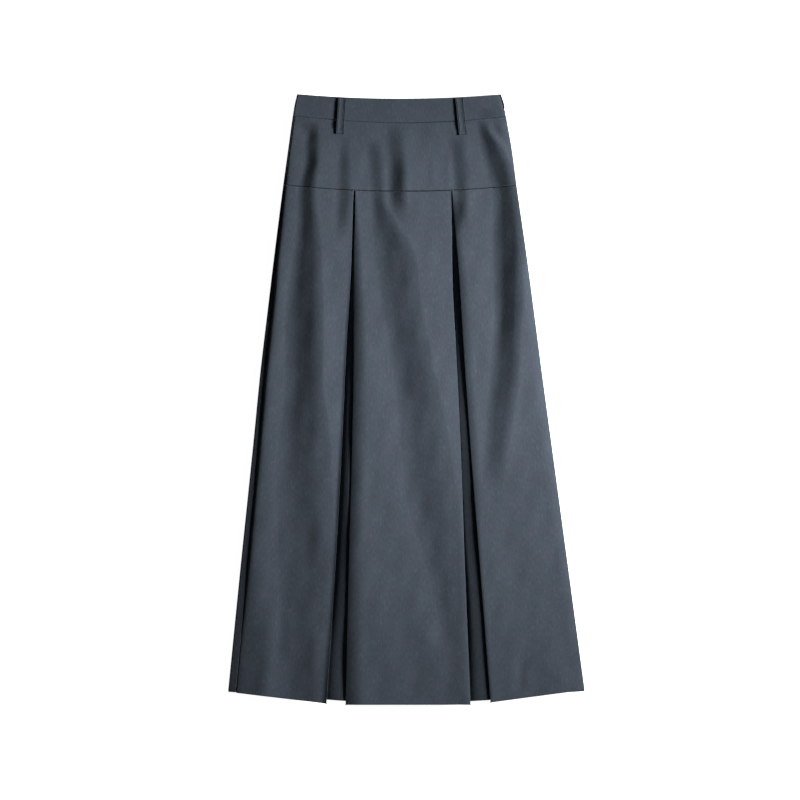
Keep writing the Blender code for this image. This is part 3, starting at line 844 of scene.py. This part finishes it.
def make_back():
    """From the left side seam on top, round the left side, to the seam at the right side."""
    radius = LEFT_ROLL_TOP / 2

    def seam(y):
        return left_seam(y) - SEAM_GAP / 2

    def turn(y):
        """Middle of the turn along the left side."""
        return left_side(y) + radius

    def strip(y):
        """Width of the back that shows between the seam and the turn."""
        return seam(y) - turn(y)

    places = []
    for share in (0.0, LEFT_LEVEL, 0.12, 0.25, 0.4, 0.6, 0.8):
        fall = LEFT_FALL * max(share - LEFT_LEVEL, 0)
        places.append((
            lambda y, s=share: seam(y) - s * strip(y),
            lambda y, f=fall: LEFT_ROLL_TOP - f * strip(y),
        ))
    for k in range(13):
        angle = math.radians(90 + 180 * k / 12)
        reach, part = radius * (1 + math.cos(angle)), (1 + math.sin(angle)) / 2
        places.append((
            lambda y, r=reach: left_side(y) + r,
            lambda y, p=part: p * (LEFT_ROLL_TOP - LEFT_FALL * strip(y)),
        ))
    for k in range(1, 91):
        places.append((
            lambda y, s=k / 90: turn(y) * (1 - s) + (right_side(y) - BACK_TURN) * s,
            0.0,
        ))
    for k in range(1, 7):
        angle = math.radians(15 * k)
        inset = BACK_TURN * (1 - math.sin(angle))
        places.append((lambda y, d=inset: right_side(y) - d, BACK_TURN * (1 - math.cos(angle))))
    places.append((right_side, BACK_EDGE_Z))

    top, hip, bottom = below("waist_seam", 0.0), above("yoke_seam"), below("back_hem")
    upper = columns_at(places, top, hip, stations(NEAR_SEAM, [], 36))
    lower = columns_at(places, hip, bottom, stations([], NEAR_SEAM, 150))
    points = np.concatenate([upper, lower[1:]], axis=0)
    x, y = points[..., 0], points[..., 1]
    sink = edge_sink(below("waist_seam")(x) - y, BACK_TOP_ROLL) + edge_sink(y - bottom(x))
    points = points + outward(points) * np.minimum(sink, SEAM_ROLL)[..., None]
    return cloth("back_cloth", points, WALL, flip=True)


def zip_shown(y):
    """0 where the zip lies hidden in the side seam, 1 where its tape shows by the waistband."""
    return ease((y - cross_line("waist_seam", BAND_END_X) - ZIP_SHOW_START) / ZIP_SHOW_RUN)


def zip_outer(y):
    """The zip's right edge."""
    return right_side(y) - (1 - zip_shown(y)) * ZIP_INSET


def band_end(y):
    """The right end of the waistband, which leaves a strip of the zip's tape in view."""
    return right_side(y) - SEAM_GAP - TAPE_SHOWS * zip_shown(y)


def make_waistband():
    """Round the waist: the front from its right end, the left side, and the back beneath."""
    near_edge = [0.0, 1.1, 2.0]
    radius = BAND_TOP / 2

    def start(y):
        return left_side(y) + radius

    shares = [0.0, 0.006, 0.015] + [0.03 + 0.97 * k / 110 for k in range(111)]
    places = [(lambda y, s=s: band_end(y) * (1 - s) + start(y) * s, BAND_TOP) for s in shares]
    for k in range(1, 12):
        angle = math.radians(90 + 180 * k / 12)
        reach, z = radius * math.cos(angle), radius * (1 + math.sin(angle))
        places.append((lambda y, r=reach: start(y) + r, z))
    for k in range(81):
        places.append((lambda y, s=k / 80: start(y) * (1 - s) + band_end(y) * s, 0.0))
    rows = stations(near_edge, near_edge, 14)
    points = columns_at(places, below("waist_top"), above("waist_seam"), rows)
    front = points[:, : len(shares)]
    x, y = front[..., 0], front[..., 1]
    from_left, from_right = x - start(y), band_end(y) - x
    fade = ease(from_left / BAND_WAVE_RUNS[0]) * ease(from_right / BAND_WAVE_RUNS[1])
    wave = np.clip(BAND_WAVE * crease_lift(x, y) * fade, *BAND_WAVE_LIMITS)
    fall = BAND_FALL * np.clip(1 - from_right / BAND_FALL_RUN, 0.0, 1.0) ** 2
    swell = SWELL * ramp((x - SWELL_X) / SWELL_RUN) * ease((SWELL_TOP - y) / SWELL_FADE)
    front[..., 2] += wave - fall + swell
    return cloth("waistband_cloth", points, BAND_WALL, flip=True, rounding=0.45)


def seat_height(x, y):
    """The highest cloth under a belt loop's width at y."""
    if y > cross_line("waist_seam", x):
        return BAND_TOP
    spots = x + LOOP_WIDTH / 2 * np.array([-1.0, 0.0, 1.0])
    return float(front_height(spots, np.full(3, y)).max())


def loop_line(name):
    """Middle of a loop's upper face at each run along it, its length and the way across it."""
    (x0, y0), (x1, y1) = LOOPS[name]
    length = math.hypot(x1 - x0, y1 - y0)
    across = ((y0 - y1) / length, (x1 - x0) / length)
    free = length - LOOP_HEAD - LOOP_FOOT
    foot = max(seat_height(x1, y) for y in (y1, y1 + LOOP_FOOT))

    def at(run):
        share = run / length
        bowed = math.sin(math.pi * min(max((run - LOOP_HEAD) / free, 0), 1))
        down = float(ease((run - LOOP_LEVEL) / (free + LOOP_HEAD - LOOP_LEVEL)))
        seat = BAND_TOP + (foot - BAND_TOP) * down
        z = seat + LOOP_GAP + LOOP_BOW * bowed**LOOP_FULLNESS + LOOP_WALL
        return x0 + (x1 - x0) * share, y0 + (y1 - y0) * share, z

    return at, length, across


def loop_relief(off, run, length):
    """Relief of a loop's face: two stitched ridges, the groove over its foot and its lip."""
    ridges = sum(math.exp(-(((off - s * LOOP_ROW) / LOOP_RIDGE_WIDTH) ** 2)) for s in (-1, 1))
    ends = float(ease(run / LOOP_RIDGE_RUNS[0]) * ease((length - run) / LOOP_RIDGE_RUNS[1]))
    ridges *= LOOP_RIDGE_LEAST + (1 - LOOP_RIDGE_LEAST) * ends
    groove = math.exp(-(((run - (length - LOOP_FOOT + LOOP_TACK)) / LOOP_GROOVE_WIDTH) ** 2))
    lip = LOOP_LIP * float(ease((off - LOOP_LIP_START) / LOOP_LIP_RUN))
    return LOOP_RIDGE * ridges - LOOP_GROOVE * groove + lip


def make_belt_loop(name):
    at, length, across = loop_line(name)
    near_end, near_side = [0.0, 0.8, 1.6], [0.0, 0.7, 1.2]
    share, offset = stations(near_end, near_end, 44)
    runs = share * length + offset
    share, offset = stations(near_side, near_side, 16)
    offs = (share - 0.5) * LOOP_WIDTH + offset
    points = np.empty((len(runs), len(offs), 3))
    for i, run in enumerate(runs):
        x, y, z = at(run)
        for j, off in enumerate(offs):
            lift = loop_relief(off, run, length)
            points[i, j] = (x + off * across[0], y + off * across[1], z + lift)
    return cloth(name + "_cloth", points, LOOP_WALL, rounding=0.1)


# ------------------------------------------------------------------ finishes
def plug(tree, made, inputs):
    """Links each input whose value is another node's socket, and sets the others."""
    for place, value in inputs.items():
        if isinstance(value, bpy.types.NodeSocket):
            tree.links.new(value, made.inputs[place])
        else:
            made.inputs[place].default_value = value


def node(tree, kind, at, inputs, **values):
    made = tree.nodes.new(kind)
    made.location = at
    for key, value in values.items():
        setattr(made, key, value)
    plug(tree, made, inputs)
    return made


def mixed(tree, factor, low, high, at):
    """A colour that runs from low to high with factor."""
    ends = (c if isinstance(c, bpy.types.NodeSocket) else (*c, 1.0) for c in (low, high))
    inputs = dict(zip(("Factor", 6, 7), (factor, *ends)))
    return node(tree, "ShaderNodeMix", at, inputs, data_type="RGBA").outputs[2]


def ranged(tree, value, source, target, at, **values):
    """A value carried from the range source into the range target."""
    names = ("Value", "From Min", "From Max", "To Min", "To Max")
    inputs = dict(zip(names, (value, *source, *target)))
    return node(tree, "ShaderNodeMapRange", at, inputs, **values).outputs[0]


def worked_out(tree, operation, at, *values):
    """The result of one Math node."""
    inputs = dict(enumerate(values))
    return node(tree, "ShaderNodeMath", at, inputs, operation=operation).outputs[0]


def new_finish(name):
    """A new material, with its node tree and its shader."""
    material = bpy.data.materials.new(name)
    material.use_nodes = True
    return material, material.node_tree, material.node_tree.nodes["Principled BSDF"]


def worsted_group():
    """Heathered worsted: soft flecks along the thread, a fine twill and slow changes of tone."""
    group = bpy.data.node_groups.get("heathered worsted")
    if group:
        return group
    group = bpy.data.node_groups.new("heathered worsted", "ShaderNodeTree")
    socket = group.interface.new_socket
    socket("Threads", in_out="INPUT", socket_type="NodeSocketVector")
    for name, value in (("Thread Width", 0.0006), ("Fleck Length", 0.011), ("Tone Size", 0.05)):
        socket(name, in_out="INPUT", socket_type="NodeSocketFloat").default_value = value
    for name in ("Heather", "Fleck", "Tone", "Tint", "Relief"):
        socket(name, in_out="OUTPUT", socket_type="NodeSocketFloat")
    threads, width, fleck, tone = node(group, "NodeGroupInput", (-900, 0), {}).outputs[:4]
    split = node(group, "ShaderNodeSeparateXYZ", (-700, 0), {0: threads})

    def woven(kind, y, across, along, settings, **values):
        """A texture laid along the threads: each way has a length to divide by and a scale."""
        parts = {}
        for place, (length, scale) in enumerate((across, along)):
            level = y + 80 - 160 * place
            share = worked_out(group, "DIVIDE", (-520, level), split.outputs[place], length)
            parts[place] = worked_out(group, "MULTIPLY", (-350, level), share, scale)
        spot = node(group, "ShaderNodeCombineXYZ", (-180, y), parts)
        settings = {"Vector": spot.outputs[0], "Scale": 1.0, **settings}
        return node(group, kind, (0, y), settings, **values).outputs["Fac"]

    noise = "ShaderNodeTexNoise"
    fibres = woven(noise, 600, (width, 0.26), (fleck, 1.8), {"Detail": 3.0, "Roughness": 0.62})
    slubs = woven(noise, 300, (width, 0.2), (fleck, 1.1), {"Detail": 1.0})
    clouds = woven(noise, 0, (tone, 1.0), (tone, 0.6), {"Detail": 2.0})
    tints = woven(noise, -300, (tone, 2.3), (tone, 1.9), {"Detail": 2.0})
    twill = woven(
        "ShaderNodeTexWave", -600, (width, 1.0), (width, 0.6),
        {"Scale": 0.36, "Distortion": 0.6, "Detail": 1.0},
        wave_type="BANDS", bands_direction="DIAGONAL",
    )
    rare = ranged(
        group, slubs, (0.56, 0.74), (0.0, 1.0), (200, 300), interpolation_type="SMOOTHSTEP"
    )
    node(group, "NodeGroupOutput", (700, 0), {
        "Heather": fibres,
        "Fleck": rare,
        "Tone": clouds,
        "Tint": tints,
        "Relief": worked_out(group, "MULTIPLY_ADD", (240, -600), twill, 0.5, fibres),
    })
    return group


def suiting():
    """Dark blue-grey worsted: matte, with pale and dark fibres and a soft sheen."""
    name = "suiting_worsted"
    if name in bpy.data.materials:
        return bpy.data.materials[name]
    wear = bpy.context.scene.skirt_cloth
    material, tree, shader = new_finish(name)
    threads = node(tree, "ShaderNodeUVMap", (-900, 0), {}, uv_map="threads").outputs[0]
    sizes = {"Thread Width": wear.thread_width, "Fleck Length": wear.fleck_length}
    weave = node(
        tree, "ShaderNodeGroup", (-700, 0), {"Threads": threads, **sizes},
        node_tree=worsted_group(),
    ).outputs
    base, spread, tint = np.array(wear.colour), wear.heather, wear.tint
    middle, whole = (0.3, 0.7), (0.0, 1.0)  # where noise mostly lies, and all of it
    heather = ranged(tree, weave["Heather"], middle, whole, (-480, 180))
    colour = mixed(tree, heather, base * (1 - spread), base * (1 + spread), (-260, 200))
    colour = mixed(tree, weave["Fleck"], colour, base * (1 + 1.5 * spread), (-60, 200))
    tone = ranged(tree, weave["Tone"], middle, (0.93, 1.07), (-480, -60))
    shaded = node(
        tree, "ShaderNodeVectorMath", (120, 200), {0: colour, "Scale": tone}, operation="SCALE"
    ).outputs[0]
    lilac, green = (1 + tint, 1 - 0.4 * tint, 1.0), (1 - tint, 1 + 0.4 * tint, 1.0)
    dye = mixed(tree, weave["Tint"], lilac, green, (120, 0))
    dyed = node(
        tree, "ShaderNodeVectorMath", (300, 200), {0: shaded, 1: dye}, operation="MULTIPLY"
    )
    bump = {"Strength": 0.35, "Distance": 0.00012, "Height": weave["Relief"]}
    plug(tree, shader, {
        "Base Color": dyed.outputs[0],
        "Roughness": ranged(tree, weave["Heather"], whole, (0.86, 1.0), (-260, -160)),
        "Normal": node(tree, "ShaderNodeBump", (-60, -320), bump).outputs[0],
        "Specular IOR Level": 0.2,
        "Sheen Weight": wear.sheen,
        "Sheen Roughness": 0.45,
    })
    material.diffuse_color = (*wear.colour, 1.0)
    return material


def trim(name, colour, roughness, grain, scale, gloss=0.4):
    """A finish for thread or tape: one colour, uneven at a small grain."""
    if name in bpy.data.materials:
        return bpy.data.materials[name]
    material, tree, shader = new_finish(name)
    place = node(tree, "ShaderNodeTexCoord", (-900, 0), {}).outputs["Object"]
    ribs = node(
        tree, "ShaderNodeTexWave", (-650, 100),
        {"Vector": place, "Scale": scale, "Distortion": 1.0},
        wave_type="BANDS", bands_direction="Y",
    ).outputs["Fac"]
    base = np.array(colour)
    worn = (roughness - 0.08, roughness + 0.08)
    bump = {"Distance": 0.00005, "Height": ribs}
    plug(tree, shader, {
        "Base Color": mixed(tree, ribs, base * (1 - grain), base * (1 + grain), (-300, 100)),
        "Roughness": ranged(tree, ribs, (0.0, 1.0), worn, (-300, -100)),
        "Normal": node(tree, "ShaderNodeBump", (-300, -300), bump).outputs[0],
        "Specular IOR Level": gloss,
    })
    material.diffuse_color = (*colour, 1.0)
    return material


# Real thread, made darker than the cloth so that its rows across each loop's head and foot paint
# the shade line there.
def sewing_thread():
    return trim("sewing_thread", (0.014, 0.017, 0.023), 0.6, 0.25, 900.0)


def zip_tape():
    return trim("zip_tape_black", (0.0022, 0.0022, 0.0028), 0.75, 0.3, 700.0, 0.15)


def zip_nylon():
    return trim("zip_nylon_grey", (0.040, 0.042, 0.046), 0.5, 0.15, 700.0)


def floor_paper(colour):
    """Pale matte paper with a faint grain. Its glow is seen by the camera and lights nothing."""
    material, tree, shader = new_finish("floor_paper")
    place = node(tree, "ShaderNodeTexCoord", (-700, 0), {}).outputs["Object"]
    grain = node(tree, "ShaderNodeTexNoise", (-500, 0), {"Vector": place, "Scale": 60.0})
    base = np.array(colour)
    seen = node(tree, "ShaderNodeLightPath", (-500, -300), {}).outputs["Is Camera Ray"]
    plug(tree, shader, {
        "Base Color": mixed(tree, grain.outputs[0], base * 0.985, base, (-250, 0)),
        "Roughness": 0.9,
        "Emission Color": mixed(tree, seen, (0.0, 0.0, 0.0), (1.0, 1.0, 1.0), (-250, -300)),
        "Emission Strength": 0.97,
    })
    return material


# ------------------------------------------------------------------ sewing and zip
def nothing_selected():
    for thing in bpy.context.selected_objects:
        thing.select_set(False)


def cut_through(cuts):
    """Adds edges round the active mesh where each plane, a point and its normal, goes through."""
    bpy.ops.object.mode_set(mode="EDIT")
    for point, normal in cuts:
        bpy.ops.mesh.select_all(action="SELECT")
        bpy.ops.mesh.bisect(plane_co=point, plane_no=normal)
    bpy.ops.mesh.select_all(action="DESELECT")
    bpy.ops.object.mode_set(mode="OBJECT")


def joined_copies(name, pattern, spots, material):
    """One mesh of copies of a small modelled piece, each turned and moved to its spot."""
    nothing_selected()
    for middle, along, up in spots:
        copy = pattern.copy()
        copy.data = pattern.data.copy()
        bpy.context.scene.collection.objects.link(copy)
        x_axis, z_axis = Vector(along).normalized(), Vector(up).normalized()
        y_axis = z_axis.cross(x_axis).normalized()
        z_axis = x_axis.cross(y_axis)
        for vertex in copy.data.vertices:
            x, y, z = vertex.co
            vertex.co = Vector(middle) * MM + x_axis * x + y_axis * y + z_axis * z
        copy.select_set(True)
        bpy.context.view_layer.objects.active = copy
    bpy.data.objects.remove(pattern, do_unlink=True)
    bpy.ops.object.join()
    piece = bpy.context.view_layer.objects.active
    piece.name = piece.data.name = name
    piece.data.materials.clear()
    piece.data.materials.append(material)
    nothing_selected()
    return piece


def one_stitch():
    """A stitch of thread along X: a short bar with rounded, dipping ends."""
    nothing_selected()
    bpy.ops.mesh.primitive_cylinder_add(
        vertices=8,
        radius=STITCH_WIDTH / 2 * MM,
        depth=STITCH_LENGTH * MM,
        rotation=(0, math.pi / 2, 0),
    )
    stitch = bpy.context.active_object
    bpy.ops.object.transform_apply(location=True, rotation=True, scale=True)
    cut_through([((0, 0, 0), (1, 0, 0))])
    for vertex in stitch.data.vertices:
        share = abs(vertex.co.x) / (STITCH_LENGTH / 2 * MM)
        vertex.co.z -= STITCH_DIP * STITCH_WIDTH * MM * share**2
        vertex.co.y *= 1 - STITCH_TAPER * share**2
    bpy.ops.object.shade_smooth_by_angle(angle=math.radians(50))
    return stitch


def loop_stitches(name):
    """Edge stitching along a belt loop, and the rows that hold down its head and its foot."""
    at, length, across = loop_line(name)
    up = (0, 0, 1)
    spots = []

    def on_loop(run, off):
        x, y, z = at(run)
        lift = z + loop_relief(off, run, length) + STITCH_LIFT
        return Vector((x + off * across[0], y + off * across[1], lift))

    for off in (-LOOP_ROW, LOOP_ROW):
        for k in range(int((length - 2 * ROW_END) / STITCH_PITCH)):
            run = ROW_END + (k + 0.5) * STITCH_PITCH
            ahead = on_loop(run + 0.8, off) - on_loop(run - 0.8, off)
            spots.append((on_loop(run, off), ahead, up))
    # Real stitching across the head and the foot, whose dark thread also paints the shade line
    # there.
    for run in (1.6, length - 0.5, length - 0.9, length - LOOP_FOOT + LOOP_TACK):
        for k in range(-4, 5):
            slant = (across[0], across[1], TACK_SLANT * (-1) ** k)
            spots.append((on_loop(run, k * TACK_PITCH), slant, up))
    return joined_copies(name + "_stitches", one_stitch(), spots, sewing_thread())


def zip_ends():
    """y of the zip's lower and upper end."""
    seam, top = (cross_line(name, BAND_END_X) for name in ("waist_seam", "waist_top"))
    return seam - ZIP_LENGTH, top - SEAM_GAP


def make_zip_tape():
    """The zip's two woven tapes, closed, as one narrow strip with a groove down its edge."""
    bottom, top = zip_ends()
    length, middle = top - bottom, (ZIP_LOW + ZIP_HIGH) / 2
    nothing_selected()
    bpy.ops.mesh.primitive_cube_add(size=1, location=(0, (top + bottom) / 2 * MM, middle * MM))
    tape = bpy.context.active_object
    tape.name = tape.data.name = "zip_tape"
    tape.scale = (ZIP_WIDTH * MM, length * MM, (ZIP_HIGH - ZIP_LOW) * MM)
    bpy.ops.object.transform_apply(location=True, rotation=True, scale=True)
    across = [((0, (bottom + length * k / 72) * MM, 0), (0, 1, 0)) for k in range(1, 72)]
    along = [((0, 0, (middle + z) * MM), (0, 0, 1)) for z in (-0.15, 0, 0.15)]
    cut_through(across + along)
    for vertex in tape.data.vertices:
        x, y, z = vertex.co / MM
        groove = TAPE_GROOVE if x > 0 and abs(z - middle) < 0.05 else 0.0
        vertex.co.x += (float(zip_outer(y)) - ZIP_WIDTH / 2 - groove) * MM
    limit_bevel(tape, "soft edges", 0.12, 2, 60)
    bpy.ops.object.modifier_apply(modifier="soft edges")
    tape.data.materials.clear()
    tape.data.materials.append(zip_tape())
    bpy.ops.object.shade_smooth_by_angle(angle=math.radians(40))
    return tape


def make_zip_coil():
    """The closed coil along the zip's edge: one small ring for each turn."""
    bottom, top = zip_ends()
    nothing_selected()
    bpy.ops.mesh.primitive_torus_add(
        major_segments=10,
        minor_segments=5,
        major_radius=COIL_RADIUS * MM,
        minor_radius=COIL_WIRE * MM,
    )
    ring = bpy.context.active_object
    bpy.ops.object.mode_set(mode="EDIT")
    bpy.ops.mesh.select_all(action="SELECT")
    bpy.ops.transform.resize(value=(1.0, 1.25, 1.0))
    bpy.ops.mesh.select_all(action="DESELECT")
    bpy.ops.object.mode_set(mode="OBJECT")
    bpy.ops.object.shade_smooth_by_angle(angle=math.radians(60))
    spots = []
    y = top - COIL_ENDS[1]
    while y > bottom + COIL_ENDS[0]:
        x = float(zip_outer(y)) - TAPE_SHOWS + COIL_LIFT
        spots.append(((x, y, ZIP_HIGH + COIL_LIFT), (1, 0, 0), (0, 1, 0.25)))
        y -= COIL_PITCH
    return joined_copies("zip_coil", ring, spots, zip_nylon())


# ------------------------------------------------------------------ what a user would change
LENGTH = {"subtype": "DISTANCE", "unit": "LENGTH"}
TURN = {"subtype": "ANGLE", "unit": "ROTATION"}
SHARE = {"subtype": "FACTOR", "min": 0.0}
COLOUR = {"subtype": "COLOR", "size": 3, "min": 0.0, "max": 1.0}


class SkirtCloth(bpy.types.PropertyGroup):
    """The suiting's look."""

    colour: bpy.props.FloatVectorProperty(
        name="Suiting", description="Mean colour of the cloth",
        default=(0.0388, 0.0490, 0.0641), **COLOUR,
    )
    heather: bpy.props.FloatProperty(
        name="Heather", description="How much the fibres differ in colour",
        default=0.155, max=0.5, **SHARE,
    )
    tint: bpy.props.FloatProperty(
        name="Tint", description="How far the cloth drifts between lilac and green grey",
        default=0.12, max=0.5, **SHARE,
    )
    sheen: bpy.props.FloatProperty(
        name="Sheen", description="Soft sheen of the pressed wool",
        default=0.05, max=1.0, **SHARE,
    )
    thread_width: bpy.props.FloatProperty(
        name="Thread width", description="Width of one thread of the weave",
        default=0.0006, min=0.0001, max=0.002, precision=5, **LENGTH,
    )
    fleck_length: bpy.props.FloatProperty(
        name="Fleck length", description="Length of the flecks along the thread",
        default=0.011, min=0.001, max=0.05, precision=4, **LENGTH,
    )


class SkirtStudio(bpy.types.PropertyGroup):
    """The light, the floor and the camera."""

    key_power: bpy.props.FloatProperty(
        name="Key light", description="Power of the soft light from the right",
        default=35.0, min=0.0, max=5000.0, subtype="POWER", unit="POWER",
    )
    key_elevation: bpy.props.FloatProperty(
        name="Elevation", description="Angle of the key light above the floor",
        default=math.radians(13.5), min=0.05, max=1.5, **TURN,
    )
    key_azimuth: bpy.props.FloatProperty(
        name="Turn", description="Angle of the key light from the right toward the waist",
        default=math.radians(4.0), min=-3.2, max=3.2, **TURN,
    )
    key_distance: bpy.props.FloatProperty(
        name="Distance", description="Distance of the key light from the skirt",
        default=3.5, min=0.5, max=10.0, **LENGTH,
    )
    key_spread: bpy.props.FloatProperty(
        name="Spread", description="How widely the key light fans out",
        default=math.radians(36.0), min=0.1, max=3.14159, **TURN,
    )
    key_size: bpy.props.FloatProperty(
        name="Softbox", description="Side of the key light's panel",
        default=0.5, min=0.05, max=4.0, **LENGTH,
    )
    fill: bpy.props.FloatProperty(
        name="Fill", description="Brightness of the even light from all round",
        default=0.03, min=0.0, max=5.0,
    )
    floor: bpy.props.FloatVectorProperty(
        name="Floor", description="Colour of the floor", default=(0.88, 0.88, 0.88), **COLOUR,
    )
    view_width: bpy.props.FloatProperty(
        name="View width", description="Width of floor that the picture takes in",
        default=1.24, min=0.1, max=5.0, **LENGTH,
    )


# ------------------------------------------------------------------ operators
def settle(piece, node_name):
    """Ties a cloth piece to the frame and hides the imported part that it stands in for."""
    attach(piece, "root")
    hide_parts(node_name)


class SKIRT_OT_back(bpy.types.Operator):
    """Lay out the back, which comes round the left side to the front"""

    bl_idname = "skirt.back"
    bl_label = "Back"

    def execute(self, context):
        settle(make_back(), "skirt_back")
        return {"FINISHED"}


class SKIRT_OT_pleat_underlays(bpy.types.Operator):
    """Lay out the underlay behind each inverted pleat"""

    bl_idname = "skirt.pleat_underlays"
    bl_label = "Pleat underlays"

    def execute(self, context):
        for side in ("left", "right"):
            node_name = "pleat_underlay_" + side
            settle(make_underlay(side), node_name)
        return {"FINISHED"}


class SKIRT_OT_front_panels(bpy.types.Operator):
    """Lay out the three front panels with their pleat folds and returns"""

    bl_idname = "skirt.front_panels"
    bl_label = "Front panels"

    def execute(self, context):
        settle(make_side_left(), "panel_side_left")
        settle(make_side_right(), "panel_side_right")
        settle(make_centre(), "panel_centre")
        return {"FINISHED"}


class SKIRT_OT_yoke(bpy.types.Operator):
    """Lay out the hip yoke"""

    bl_idname = "skirt.yoke"
    bl_label = "Yoke"

    def execute(self, context):
        settle(make_yoke(), "yoke_front")
        return {"FINISHED"}


class SKIRT_OT_waistband(bpy.types.Operator):
    """Lay out the waistband, round the waist from the zip"""

    bl_idname = "skirt.waistband"
    bl_label = "Waistband"

    def execute(self, context):
        settle(make_waistband(), "waistband")
        return {"FINISHED"}


class SKIRT_OT_belt_loops(bpy.types.Operator):
    """Make the belt loops with their edge stitching"""

    bl_idname = "skirt.belt_loops"
    bl_label = "Belt loops"

    def execute(self, context):
        for name in LOOPS:
            stitches = loop_stitches(name)
            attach(stitches, "root")
            loop, under = make_belt_loop(name), ["waistband_cloth", "front_yoke"]
            settle(loop, name)
        return {"FINISHED"}


class SKIRT_OT_side_zip(bpy.types.Operator):
    """Make the closed zip, whose tape and coil show beside the waistband"""

    bl_idname = "skirt.side_zip"
    bl_label = "Side zip"

    def execute(self, context):
        for piece in (make_zip_tape(), make_zip_coil()):
            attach(piece, "root")
            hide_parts("side_zip")
        return {"FINISHED"}


class SKIRT_OT_studio(bpy.types.Operator):
    """Set the floor, the light and the camera"""

    bl_idname = "skirt.studio"
    bl_label = "Studio"

    def execute(self, context):
        studio = context.scene.skirt_studio
        nothing_selected()
        bpy.ops.mesh.primitive_plane_add(size=14.0, location=(0, 0, -0.0001))
        floor = context.active_object
        floor.name = "studio_floor"
        floor.data.materials.append(floor_paper(studio.floor))
        nothing_selected()

        lamp = bpy.data.lights.new("key_light", "AREA")
        lamp.energy = studio.key_power
        lamp.size = studio.key_size
        lamp.spread = studio.key_spread
        key = bpy.data.objects.new("key_light", lamp)
        context.scene.collection.objects.link(key)
        reach = studio.key_distance * math.cos(studio.key_elevation)
        aim = Vector(LIGHT_AIM)
        key.location = aim + Vector((
            reach * math.cos(studio.key_azimuth),
            reach * math.sin(studio.key_azimuth),
            studio.key_distance * math.sin(studio.key_elevation),
        ))
        key.rotation_euler = (aim - key.location).to_track_quat("-Z", "Y").to_euler()
        key.visible_camera = False

        world = bpy.data.worlds.new("studio_air")
        context.scene.world = world
        world.use_nodes = True
        air = world.node_tree.nodes["Background"]
        air.inputs["Color"].default_value = (0.96, 0.98, 1.0, 1.0)
        air.inputs["Strength"].default_value = studio.fill

        view = bpy.data.cameras.new("camera")
        view.lens = 200.0
        view.sensor_width = 36.0
        view.clip_end = 60.0
        camera = bpy.data.objects.new("camera", view)
        context.scene.collection.objects.link(camera)
        height = studio.view_width * view.lens / view.sensor_width
        camera.location = (*VIEW_MIDDLE, height)
        context.scene.camera = camera
        context.scene.view_settings.view_transform = "Standard"
        return {"FINISHED"}


OPERATORS = (
    SKIRT_OT_back,
    SKIRT_OT_pleat_underlays,
    SKIRT_OT_front_panels,
    SKIRT_OT_yoke,
    SKIRT_OT_waistband,
    SKIRT_OT_belt_loops,
    SKIRT_OT_side_zip,
    SKIRT_OT_studio,
)


class SKIRT_PT_maker(bpy.types.Panel):
    """Lists the skirt's pieces and what can be changed"""

    bl_idname = "SKIRT_PT_maker"
    bl_label = "A-line skirt"
    bl_space_type = "VIEW_3D"
    bl_region_type = "UI"
    bl_category = "Skirt"

    def draw(self, context):
        for settings in (context.scene.skirt_cloth, context.scene.skirt_studio):
            column = self.layout.column(align=True)
            for name in settings.__annotations__:
                column.prop(settings, name)
        for operator in OPERATORS:
            self.layout.operator(operator.bl_idname)


CLASSES = (SkirtCloth, SkirtStudio, *OPERATORS, SKIRT_PT_maker)


def register():
    for made in CLASSES:
        bpy.utils.register_class(made)
    bpy.types.Scene.skirt_cloth = bpy.props.PointerProperty(type=SkirtCloth)
    bpy.types.Scene.skirt_studio = bpy.props.PointerProperty(type=SkirtStudio)


def unregister():
    del bpy.types.Scene.skirt_studio
    del bpy.types.Scene.skirt_cloth
    for made in reversed(CLASSES):
        bpy.utils.unregister_class(made)


def main():
    register()
    bpy.ops.skirt.back()
    bpy.ops.skirt.pleat_underlays()
    bpy.ops.skirt.front_panels()
    bpy.ops.skirt.yoke()
    bpy.ops.skirt.waistband()
    bpy.ops.skirt.belt_loops()
    bpy.ops.skirt.side_zip()
    bpy.ops.skirt.studio()


if __name__ == "__main__":
    main()
